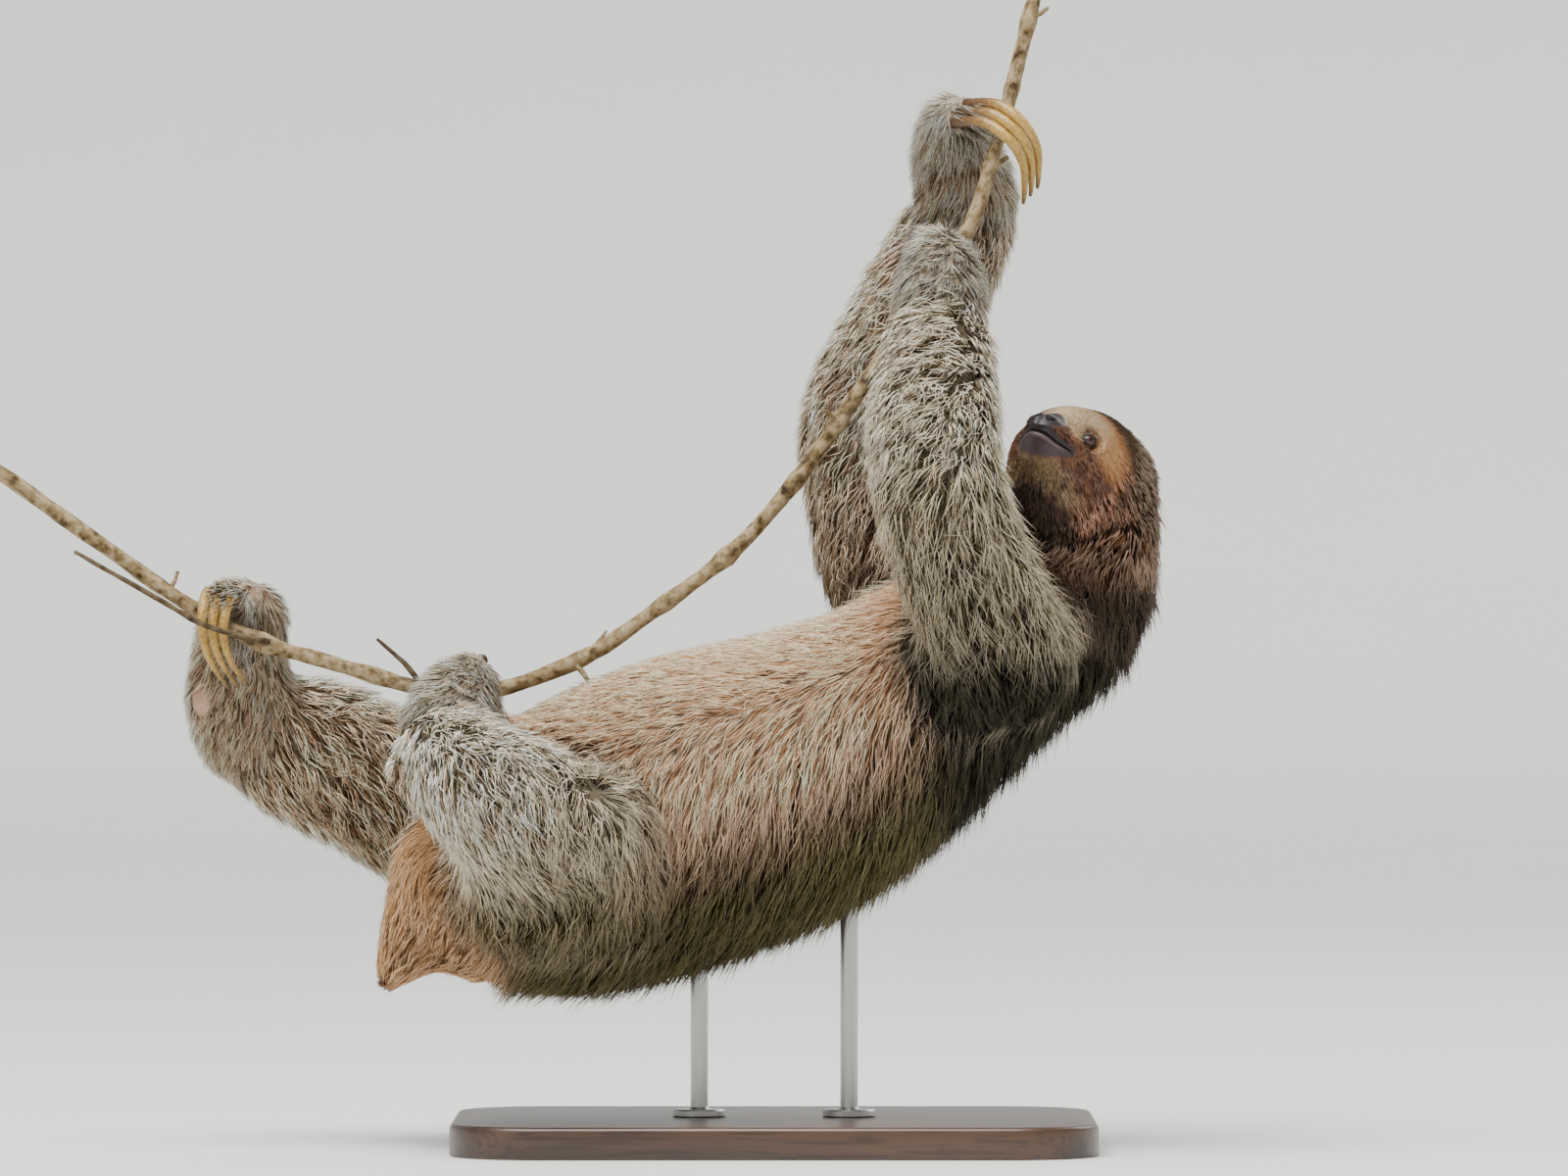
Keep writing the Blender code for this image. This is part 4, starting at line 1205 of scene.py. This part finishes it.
    def locks(self, roots, count):
        """Each tuft's lock, as the number of the tuft that leads it."""
        leaders = self.rng.choice(count, max(count // LOCK_TUFTS, 1), replace=False)
        tree = KDTree(len(leaders))
        for number in leaders:
            tree.insert(roots[number], int(number))
        tree.balance()
        return np.array([tree.find(root)[1] for root in roots])

    def tones(self, picked, shares, leader, kind):
        """Each tuft's own colour: its place's marking, then lighter or darker by lock and by tuft."""
        rng, count = self.rng, len(picked)
        colour = self.at_roots(self.colour, picked, shares)
        contrast = self.at_roots(self.contrast, picked, shares)
        lock = rng.normal(0.0, 0.20, count)[leader]
        own = rng.normal(0.0, 0.20, count)
        pale, dark = kind < PALE_SHARE, kind > 1.0 - DARK_SHARE
        lift = np.where(pale, 0.55, 0.0) - np.where(dark, 1.25, 0.0)
        made = colour * np.exp((lock + own + lift) * contrast)[:, None]
        made = made * np.where(dark[:, None], (1.06, 0.94, 0.70), 1.0)
        straw = colour / colour.max(axis=1, keepdims=True)
        straw = (0.45 + 0.55 * straw) * (np.minimum(colour.max(axis=1) ** 0.5 * 1.35, 0.86))[:, None]
        share = (np.where(pale, 0.50, 0.0) * contrast)[:, None]
        return np.clip(made + (straw - made) * share, 0.003, 0.88)

    def piece_meshes(self, name, kinds, count, rings, split):
        paths, normals, uvs, picked, shares, leader, kind = self.grown(kinds, count, rings)
        tones = self.tones(picked, shares, leader, kind)
        widths = self.at_roots(self.width, picked, shares) * self.rng.uniform(0.7, 1.25, count)
        order = np.argsort(paths[:, 0, 0])
        for number, chosen in enumerate(np.array_split(order, split), start=1):
            label = name if split == 1 else f"{name}_{number}"
            drawn = (values[chosen] for values in (paths, normals, widths, tones, uvs))
            yield label, tuft_mesh(label, *drawn)


def tuft_mesh(name, paths, normals, widths, tones, uvs):
    """One mesh of closed three-sided tufts that thin to a point."""
    count, rings = len(paths), paths.shape[1] - 1
    tangents = unit(np.gradient(paths, axis=1))
    side = unit(np.cross(tangents, normals[:, None, :]))
    over = np.cross(tangents, side)
    turns = np.array([-0.5, 1.0 / 6.0, 5.0 / 6.0]) * pi
    radius = 0.5 * widths[:, None] * np.array(RING_WIDTHS[-rings:])
    ring = side[:, :rings, None] * np.cos(turns)[:, None] + over[:, :rings, None] * np.sin(turns)[:, None]
    ring = paths[:, :rings, None] + ring * radius[:, :, None, None]
    points = np.concatenate([ring.reshape(count, rings * 3, 3), paths[:, -1:]], axis=1)

    faces = [(2, 1, 0)]
    for row in range(rings - 1):
        for step in range(3):
            first, second = 3 * row + step, 3 * row + (step + 1) % 3
            faces.append((first, second, second + 3, first + 3))
    last, tip = 3 * rings - 3, 3 * rings
    faces += [(last + step, last + (step + 1) % 3, tip) for step in range(3)]
    template = np.array([vertex for face in faces for vertex in face])
    sizes = np.array([len(face) for face in faces])
    starts = np.concatenate([[0], np.cumsum(sizes)[:-1]])

    tufts = np.arange(count)[:, None]
    mesh = bpy.data.meshes.new(name)
    mesh.vertices.add(count * (tip + 1))
    mesh.vertices.foreach_set("co", points.astype(np.float32).ravel())
    mesh.loops.add(count * len(template))
    mesh.loops.foreach_set("vertex_index", (tufts * (tip + 1) + template).astype(np.int32).ravel())
    mesh.polygons.add(count * len(faces))
    mesh.polygons.foreach_set("loop_start", (tufts * len(template) + starts).astype(np.int32).ravel())

    across = np.append(np.tile(np.array([-0.5, 0.0, 0.5]), rings), 0.0)
    length = np.append(np.repeat(np.arange(rings) / rings, 3), 1.0) - 0.5
    spot = uvs[:, None, :] + PATCH * np.stack([across, length], axis=1)
    layer = mesh.uv_layers.new(name="OFBake")
    layer.data.foreach_set("uv", spot[:, template].astype(np.float32).ravel())
    mesh.update(calc_edges=True)
    # Each ring darker toward the root: painted shade deep in the coat.
    shade = np.append(np.repeat(TUFT_SHADES[:rings], 3), TUFT_SHADES[-1])
    colours = tones[:, None, :] * shade[None, :, None]
    paint(mesh, np.clip(colours, 0.0, 1.0).reshape(-1, 3))
    return mesh


# ---------------------------------------------------------------- operators
class SLOTH_OT_skin(bpy.types.Operator):
    """One skin over all the flesh, as far under the coat as the coat is deep, with the face modelled in it"""

    bl_idname = "sloth.skin"
    bl_label = "Skin"

    def execute(self, context):
        settings = context.scene.sloth_skin
        shell = remeshed(flesh_shell(), settings.grid, 3)
        points = coordinates(shell)
        parts = nearest_parts(points)
        raised = 1.0 - 0.85 * np.maximum(by_claws(points), by_heels(points, 0.009, 0.018))
        sink(shell, coat_depth(points, parts, edge_ends(shell), settings) * raised)
        rise = fold_rise(coordinates(shell), parts)
        set_coordinates(shell, coordinates(shell) + vertex_normals(shell) * rise[:, None])
        skin = face_refined(remeshed(shell, settings.grid, 2))
        points = coordinates(skin)
        faced = sculpted(points, vertex_normals(skin))
        set_coordinates(skin, np.where(on_head(points)[:, None], faced, points))
        points = coordinates(skin)
        parts = nearest_parts(points)
        depth = coat_depth(points, parts, edge_ends(skin), settings)
        for name, kind, values in (
            ("body_part", "INT", parts.astype(np.int32)), ("coat_depth", "FLOAT", depth.astype(np.float32)),
        ):
            skin.attributes.new(name, kind, "POINT").data.foreach_set("value", values)
        body = Body(skin)
        # Painted shade: the skin under the coat takes the coat's markings at 0.42 of their brightness, so
        # that its gaps look shadowed; the bare heels keep nearly their own tone.
        coat = body.colour(context.scene.sloth_coat) * (0.42 + 0.5 * body.heels())[:, None]
        share, lip = self.bare_shares(body)
        bare, pale = np.array(settings.bare), np.array(settings.lip)
        tone = bare + (pale - bare) * lip[:, None]
        paint(skin, coat + (tone - coat) * share[:, None])
        piece = add_piece("skin", skin, [skin_material()], "coat_belly", FLESH)
        self.unwrap(context, piece)
        return {"FINISHED"}

    def bare_shares(self, body):
        """How bare the face is at each vertex, and how much of that takes the lip's tone: the paler bare skin
        of lip and chin, and a painted highlight along the lower lip's ridge.
        """
        mouth, away = mouth_skin(body.head)
        nose = nose_share(body.head)
        share = np.maximum(nose, mouth)
        for side in SIDES:
            share = np.maximum(share, smoothstep(LID_CREASE, 1.3, lid_reach(body.head, side)))
        above, turn = mouth_offset(body.head)
        chin = smoothstep(0.3, -1.2, above) * smoothstep(62.0, 25.0, turn)
        # Painted highlight along the lower lip's ridge.
        ridge = 0.38 * smoothstep(1.4, 0.4, away) * smoothstep(50.0, 30.0, turn)
        return share * body.of_head, mouth * (0.22 * chin + ridge) * (1.0 - nose)

    def unwrap(self, context, piece):
        """Lays the skin's own shape out flat in the map that the coat is drawn on too."""
        piece.data.uv_layers.new(name="OFBake")
        context.view_layer.objects.active = piece
        piece.select_set(True)
        bpy.ops.object.mode_set(mode="EDIT")
        bpy.ops.mesh.select_all(action="SELECT")
        bpy.ops.uv.smart_project(angle_limit=radians(66), island_margin=0.004)
        bpy.ops.object.mode_set(mode="OBJECT")
        piece.select_set(False)


class SLOTH_OT_coat(bpy.types.Operator):
    """The coat, in tufts that follow its lie, with the same markings as the skin"""

    bl_idname = "sloth.coat"
    bl_label = "Coat"

    def execute(self, context):
        settings = context.scene.sloth_coat
        coat = Coat(Body(bpy.data.objects["skin"].data), settings, SEED)
        hair = hair_material()
        for name, (kinds, count, rings, slot, split) in COAT_PIECES.items():
            tufts = max(int(count * settings.fullness), split)
            for label, mesh in coat.piece_meshes(name, kinds, tufts, rings, split):
                add_piece(label, mesh, [hair], slot)
        return {"FINISHED"}


CORNEA_REACH, CORNEA_RISE = 0.0030, 0.0004  # the clear bulge at the front of the eye


class SLOTH_OT_eyes(bpy.types.Operator):
    """Both eyes: a dark ball with a brown iris and a clear, wet front"""

    bl_idname = "sloth.eyes"
    bl_label = "Eyes"

    def execute(self, context):
        for name, side in zip(("eye_left", "eye_right"), SIDES):
            centre = Vector(np.array(NOSE_TIP) + (np.array(EYE_PLACE) * (1.0, side, 1.0)) @ HEAD_AXES)
            axis = Vector((np.array(EYE_AXIS) * (1.0, side, 1.0)) @ HEAD_AXES)
            bm = bmesh.new()
            place = Matrix.Translation(centre) @ axis.to_track_quat("Z", "Y").to_matrix().to_4x4()
            radius = EYE_RADIUS * 0.001
            bmesh.ops.create_uvsphere(bm, u_segments=40, v_segments=28, radius=radius, matrix=place)
            pole = centre + axis * EYE_RADIUS * 0.001
            for vertex in bm.verts:
                swell = max(0.0, 1.0 - (vertex.co - pole).length / CORNEA_REACH)
                vertex.co += axis * CORNEA_RISE * swell
            add_piece(f"{name}_ball", mesh_of(bm, name), [eye_material(name, pole)], "eye", [name])
        return {"FINISHED"}


CLAW_ROOT_RADIUS, CLAW_THINNING, CLAW_POINT_RADIUS = 0.0036, 0.0027, 0.0003
CLAW_FLATNESS = 0.35  # how far the inner side is pressed in, as a share of the radius


class SLOTH_OT_claws(bpy.types.Operator):
    """Three hooked claws on each hand and foot"""

    bl_idname = "sloth.claws"
    bl_label = "Claws"

    def execute(self, context):
        horn = horn_material(context.scene.sloth_claws)
        for end, (route, root_step, tip_step) in CLAW_ROUTES.items():
            joined = bmesh.new()
            for index in (1, 2, 3):
                line = smooth_line(route, 8)
                share = np.linspace(0.0, 1.0, len(line))
                aside = np.outer(1 - share, root_step) + np.outer(share, tip_step)
                line = line + aside * (index - 2)
                lead = line[0] - line[1]
                line = np.concatenate([[line[0] + lead * 1.2], line])
                share = np.concatenate([[0.0], share])
                radii = CLAW_ROOT_RADIUS - CLAW_THINNING * share**2.1
                radii[-1] = CLAW_POINT_RADIUS
                tube = round_line(line, radii, 4)
                self.shape(tube, line, share)
                joined.from_mesh(mesh_of(tube, "claw"))
            mesh = mesh_of(joined, f"claws_{end}")
            nodes = [f"claw_{end}_{index}" for index in (1, 2, 3)]
            add_piece(f"claws_{end}", mesh, [horn], "horn", nodes)
        return {"FINISHED"}

    def shape(self, tube, line, share):
        """Flattens the claw's inner side and marks how far along it each vertex lies."""
        layer = tube.verts.layers.float.new("claw_share")
        middle = line.mean(axis=0)
        tree = KDTree(len(line))
        for index, place in enumerate(line):
            tree.insert(place, index)
        tree.balance()
        for vertex in tube.verts:
            place, index, _ = tree.find(vertex.co)
            inward = (Vector(middle) - place).normalized()
            depth = (vertex.co - place).dot(inward)
            if depth > 0.0:
                vertex.co -= inward * depth * CLAW_FLATNESS
            vertex[layer] = share[index]


VINE_ROUTE = [
    (-0.441, 0, 0.384), (-0.369, 0, 0.333), (-0.327, 0, 0.304), (-0.287, 0, 0.284), (-0.253, 0, 0.274),
    (-0.197, 0, 0.258), (-0.170, 0, 0.256), (-0.143, 0, 0.261), (-0.104, 0, 0.277), (-0.071, 0, 0.299),
    (-0.027, 0, 0.332), (0.001, 0, 0.361), (0.028, 0, 0.396), (0.050, 0, 0.428), (0.077, -0.006, 0.470),
    (0.107, -0.009, 0.512), (0.117, -0.006, 0.537), (0.124, -0.002, 0.561), (0.131, 0.004, 0.585),
    (0.138, 0.008, 0.613), (0.147, 0.010, 0.650),
]
KNOTS = (  # place along the vine as x, how much thicker it is there, and the length of the swelling
    (-0.400, 0.20, 0.006), (-0.345, 0.16, 0.005), (-0.287, 0.55, 0.008), (-0.225, 0.22, 0.006),
    (-0.110, 0.30, 0.007), (-0.062, 0.22, 0.005), (-0.027, 0.42, 0.006), (0.012, 0.26, 0.005),
    (0.036, 0.34, 0.006), (0.088, 0.25, 0.006), (0.121, 0.35, 0.005), (0.134, 0.25, 0.005),
    (0.143, 0.35, 0.006),
)
TWIG_ROUTES = {  # the route, then the radius at its foot and at its tip
    "vine_twig_long": (
        [(-0.284, -0.004, 0.2845), (-0.287, -0.0085, 0.2850), (-0.297, -0.0165, 0.2870),
         (-0.321, -0.0185, 0.2950), (-0.346, -0.0130, 0.3090), (-0.392, -0.0100, 0.3350)],
        0.0021, 0.0013),
    "vine_twig_short": (
        [(-0.1985, -0.001, 0.2600), (-0.2010, -0.0045, 0.2648), (-0.2080, -0.0040, 0.2730),
         (-0.2228, -0.0020, 0.2860)],
        0.0021, 0.0009),
}
STUBS = (  # foot, tip and radius of the broken side shoots
    ((-0.112, -0.002, 0.272), (-0.104, -0.006, 0.262), 0.0016),
    ((-0.105, 0.001, 0.277), (-0.094, 0.003, 0.291), 0.0012),
    ((0.036, -0.002, 0.407), (0.028, -0.007, 0.414), 0.0015),
    ((0.121, -0.004, 0.551), (0.131, -0.008, 0.556), 0.0014),
    ((0.144, 0.009, 0.634), (0.154, 0.006, 0.641), 0.0013),
    ((-0.340, 0.001, 0.313), (-0.335, 0.006, 0.324), 0.0012),
)
TWIG_BARK_SHADE = 0.22
RIDGE_HEIGHT, SCAR_HEIGHT = 0.00040, 0.00030


class SLOTH_OT_vine(bpy.types.Operator):
    """The cut length of vine with its knots, broken shoots and twigs"""

    bl_idname = "sloth.vine"
    bl_label = "Vine"

    def execute(self, context):
        settings = context.scene.sloth_vine
        bark = bark_material(settings)
        dry = bark_material(settings, "sloth_twig_bark", TWIG_BARK_SHADE)
        line = smooth_line(VINE_ROUTE, 12)
        radii = np.full(len(line), settings.radius)
        for x, more, length in KNOTS:
            place = line[np.argmin(np.abs(line[:, 0] - x))]
            radii *= 1.0 + 0.65 * more * hump(distance(line, place), length)
        radii *= (1.0 + 0.06 * np.sin(line[:, 0] * 190.0)) * np.interp(line[:, 2], (0.48, 0.58), (0.92, 0.86))
        bm = self.barked(line, radii, 6)
        for foot, tip, radius in STUBS:
            places = smooth_line([foot, np.add(foot, tip) / 2 + (0.0008, 0.0, 0.0), tip], 3)
            stub = self.barked(places, np.linspace(radius * 1.3, radius * 0.8, len(places)), 2)
            bm.from_mesh(mesh_of(stub, "stub"))
        lengths = [f"vine_{index}" for index in range(1, 7)]
        add_piece("vine_bark", mesh_of(bm, "vine_bark"), [bark], "bark", lengths)
        for name, (route, radius, tip_radius) in TWIG_ROUTES.items():
            places = smooth_line(route, 8)
            twig = self.barked(places, np.linspace(radius, tip_radius, len(places)), 3)
            add_piece(f"{name}_bark", mesh_of(twig, name), [dry], "bark", [name])
        return {"FINISHED"}

    def barked(self, line, radii, roundness):
        """A tube with lengthwise ridges and small scars."""
        tube = round_line(line, radii, roundness)
        tube.normal_update()
        for vertex in tube.verts:
            ridge = noise.noise(Vector((vertex.co.x * 60, vertex.co.y * 420, vertex.co.z * 60)))
            scar = noise.noise(vertex.co * 260)
            vertex.co += vertex.normal * (RIDGE_HEIGHT * ridge + SCAR_HEIGHT * scar)
        return tube


BASE_SIZE, BASE_CORNER, BASE_EDGE, BASE_FOOT = (0.36, 0.25, 0.018), 0.05, 0.003, 0.0008
ROD_RADIUS, COLLAR_RADIUS, COLLAR_HEIGHT = 0.005, 0.015, 0.004
ROD_RIM, ROD_FILLET, ROD_SEAT = 0.0008, 0.0012, 0.0003
RODS = {"stand_rod_rear": (-0.042, 0.148), "stand_rod_front": (0.042, 0.184)}  # x and top
SHARP = radians(40)


def drop(edge):
    """How much height an edge spans."""
    return abs(edge.verts[0].co.z - edge.verts[1].co.z)


class SLOTH_OT_stand(bpy.types.Operator):
    """The display stand: a flat wooden base and two steel rods"""

    bl_idname = "sloth.stand"
    bl_label = "Stand"

    def execute(self, context):
        settings = context.scene.sloth_stand
        bm = bmesh.new()
        bmesh.ops.create_cube(bm, size=1.0)
        length, width, thickness = BASE_SIZE
        bmesh.ops.transform(bm, matrix=Matrix.Diagonal((length, width, thickness, 1.0)), verts=bm.verts)
        bmesh.ops.translate(bm, vec=(0, 0, thickness / 2), verts=bm.verts)
        self.rounded(bm, [edge for edge in bm.edges if drop(edge) > thickness / 2], BASE_CORNER, 24)
        rims = [edge for edge in bm.edges if drop(edge) < 1e-5]
        top = [edge for edge in rims if edge.verts[0].co.z > thickness / 2]
        bottom = [edge for edge in rims if edge.verts[0].co.z < thickness / 2]
        self.rounded(bm, top, BASE_EDGE, 5)
        self.rounded(bm, bottom, BASE_FOOT, 2)
        bmesh.ops.recalc_face_normals(bm, faces=bm.faces[:])
        mesh = mesh_of(bm, "stand_base_wood")
        piece = add_piece("stand_base_wood", mesh, [wood_material(settings)], "stand_wood", ["stand_base"])
        piece.data.set_sharp_from_angle(angle=SHARP)
        steel = steel_material(settings)
        for name, (x, top_height) in RODS.items():
            piece = add_piece(f"{name}_steel", self.rod(x, top_height), [steel], "stand_steel", [name])
            piece.data.set_sharp_from_angle(angle=SHARP)
        return {"FINISHED"}

    def rounded(self, bm, edges, offset, segments):
        bmesh.ops.bevel(
            bm, geom=edges, offset=offset, segments=segments, affect="EDGES", profile=0.5, material=-1,
        )

    def rod(self, x, top_height):
        """A turned rod with a screwed collar at its foot, spun from its profile."""
        low, rim = BASE_SIZE[2] + ROD_SEAT, ROD_RIM
        profile = [
            (0.0, low), (COLLAR_RADIUS - rim / 2, low), (COLLAR_RADIUS, low + rim / 2),
            (COLLAR_RADIUS, low + COLLAR_HEIGHT - rim), (COLLAR_RADIUS - rim, low + COLLAR_HEIGHT),
            (ROD_RADIUS + ROD_FILLET, low + COLLAR_HEIGHT), (ROD_RADIUS, low + COLLAR_HEIGHT + ROD_FILLET),
            (ROD_RADIUS, top_height - rim), (ROD_RADIUS - rim, top_height), (0.0, top_height),
        ]
        return spun(profile, x, 48, "rod")


LIGHTS = (  # name, place, size, power and colour
    ("top", (-0.4, -0.6, 2.6), 1.8, 74.0, (1.0, 0.98, 0.94)),
    ("front", (-2.2, -2.6, 1.6), 1.6, 14.0, (1.0, 0.99, 0.96)),
    ("rim", (2.0, 2.2, 1.9), 1.4, 26.0, (0.98, 0.99, 1.0)),
)
LIGHTS_AIM = Vector((0.0, 0.0, 0.3))
SKY_COLOUR, SKY_STRENGTH = (0.92, 0.96, 1.0, 1.0), 0.5
SUN_HEADING, SUN_ANGLE, SUN_STRENGTH = Vector((0.22, 0.42, -1.0)), radians(50), 3.5
CAMERA_LENS, CAMERA_X, CAMERA_Z = 245.5, 0.0055, 0.3146
FLOOR_RADIUS, FLOOR_BEND, WALL_TOP = 13.0, 3.0, 5.0


class SLOTH_OT_stage(bpy.types.Operator):
    """The pale floor, the soft studio light and the camera"""

    bl_idname = "sloth.stage"
    bl_label = "Stage"

    def execute(self, context):
        settings = context.scene.sloth_stage
        self.floor(context, settings)
        self.lights(context)
        camera = bpy.data.cameras.new("camera")
        camera.sensor_width = 36.0
        camera.lens = CAMERA_LENS
        camera.clip_end = 100.0
        view = self.placed(context, "camera", camera, (CAMERA_X, -settings.camera_distance, CAMERA_Z))
        view.rotation_euler = (pi / 2, 0.0, 0.0)
        context.scene.camera = view
        return {"FINISHED"}

    def placed(self, context, name, data, location):
        thing = bpy.data.objects.new(name, data)
        thing.location = location
        context.scene.collection.objects.link(thing)
        return thing

    def floor(self, context, settings):
        """A round floor that rises softly into a low wall far behind and around the model."""
        wall = FLOOR_RADIUS + FLOOR_BEND
        profile = [(0.0, 0.0), (FLOOR_RADIUS, 0.0)]
        profile += [
            (FLOOR_RADIUS + FLOOR_BEND * sin(turn), FLOOR_BEND - FLOOR_BEND * cos(turn))
            for turn in np.linspace(0.1, pi / 2, 12)
        ]
        mesh = spun([*profile, (wall, WALL_TOP)], 0.0, 96, "floor", 1e-5)
        mesh.materials.append(floor_material(settings))
        mesh.shade_smooth()
        floor = self.placed(context, "floor", mesh, (0.0, 0.0, 0.0))

    def lights(self, context):
        world = bpy.data.worlds.new("studio")
        world.use_nodes = True
        sky = world.node_tree.nodes["Background"].inputs
        sky["Color"].default_value = SKY_COLOUR
        sky["Strength"].default_value = SKY_STRENGTH
        context.scene.world = world
        sun = bpy.data.lights.new("sky_sun", "SUN")
        sun.angle = SUN_ANGLE
        sun.energy = SUN_STRENGTH
        self.aimed(self.placed(context, "sky_sun", sun, (0.0, 0.0, 0.0)), SUN_HEADING)
        for name, place, size, power, colour in LIGHTS:
            light = bpy.data.lights.new(name, "AREA")
            light.shape = "SQUARE"
            light.size = size
            light.energy = power
            light.color = colour
            lamp = self.placed(context, name, light, place)
            self.aimed(lamp, LIGHTS_AIM - lamp.location)

    def aimed(self, lamp, heading):
        lamp.rotation_euler = heading.to_track_quat("-Z", "Y").to_euler()


# ---------------------------------------------------------------- the panel and the way in
class SLOTH_PT_parts(bpy.types.Panel):
    """The pieces of the sloth and their settings"""

    bl_idname = "SLOTH_PT_parts"
    bl_label = "Sloth on a Vine"
    bl_space_type = "VIEW_3D"
    bl_region_type = "UI"
    bl_category = "Sloth"

    def draw(self, context):
        for operator in OPERATORS:
            box = self.layout.box()
            box.operator(operator.bl_idname)
            name = operator.bl_idname.replace(".", "_")
            if name in SETTINGS:
                for row in SETTINGS[name].__annotations__:
                    box.prop(getattr(context.scene, name), row)


OPERATORS = (
    SLOTH_OT_skin, SLOTH_OT_coat, SLOTH_OT_eyes, SLOTH_OT_claws, SLOTH_OT_vine, SLOTH_OT_stand,
    SLOTH_OT_stage,
)


def register():
    for made in (*SETTINGS.values(), *OPERATORS, SLOTH_PT_parts):
        bpy.utils.register_class(made)
    for name, made in SETTINGS.items():
        setattr(bpy.types.Scene, name, bpy.props.PointerProperty(type=made))


def unregister():
    for name in SETTINGS:
        delattr(bpy.types.Scene, name)
    for made in reversed((*SETTINGS.values(), *OPERATORS, SLOTH_PT_parts)):
        bpy.utils.unregister_class(made)


def main():
    register()
    bpy.ops.sloth.skin()
    bpy.ops.sloth.coat()
    bpy.ops.sloth.eyes()
    bpy.ops.sloth.claws()
    bpy.ops.sloth.vine()
    bpy.ops.sloth.stand()
    bpy.ops.sloth.stage()


if __name__ == "__main__":
    main()
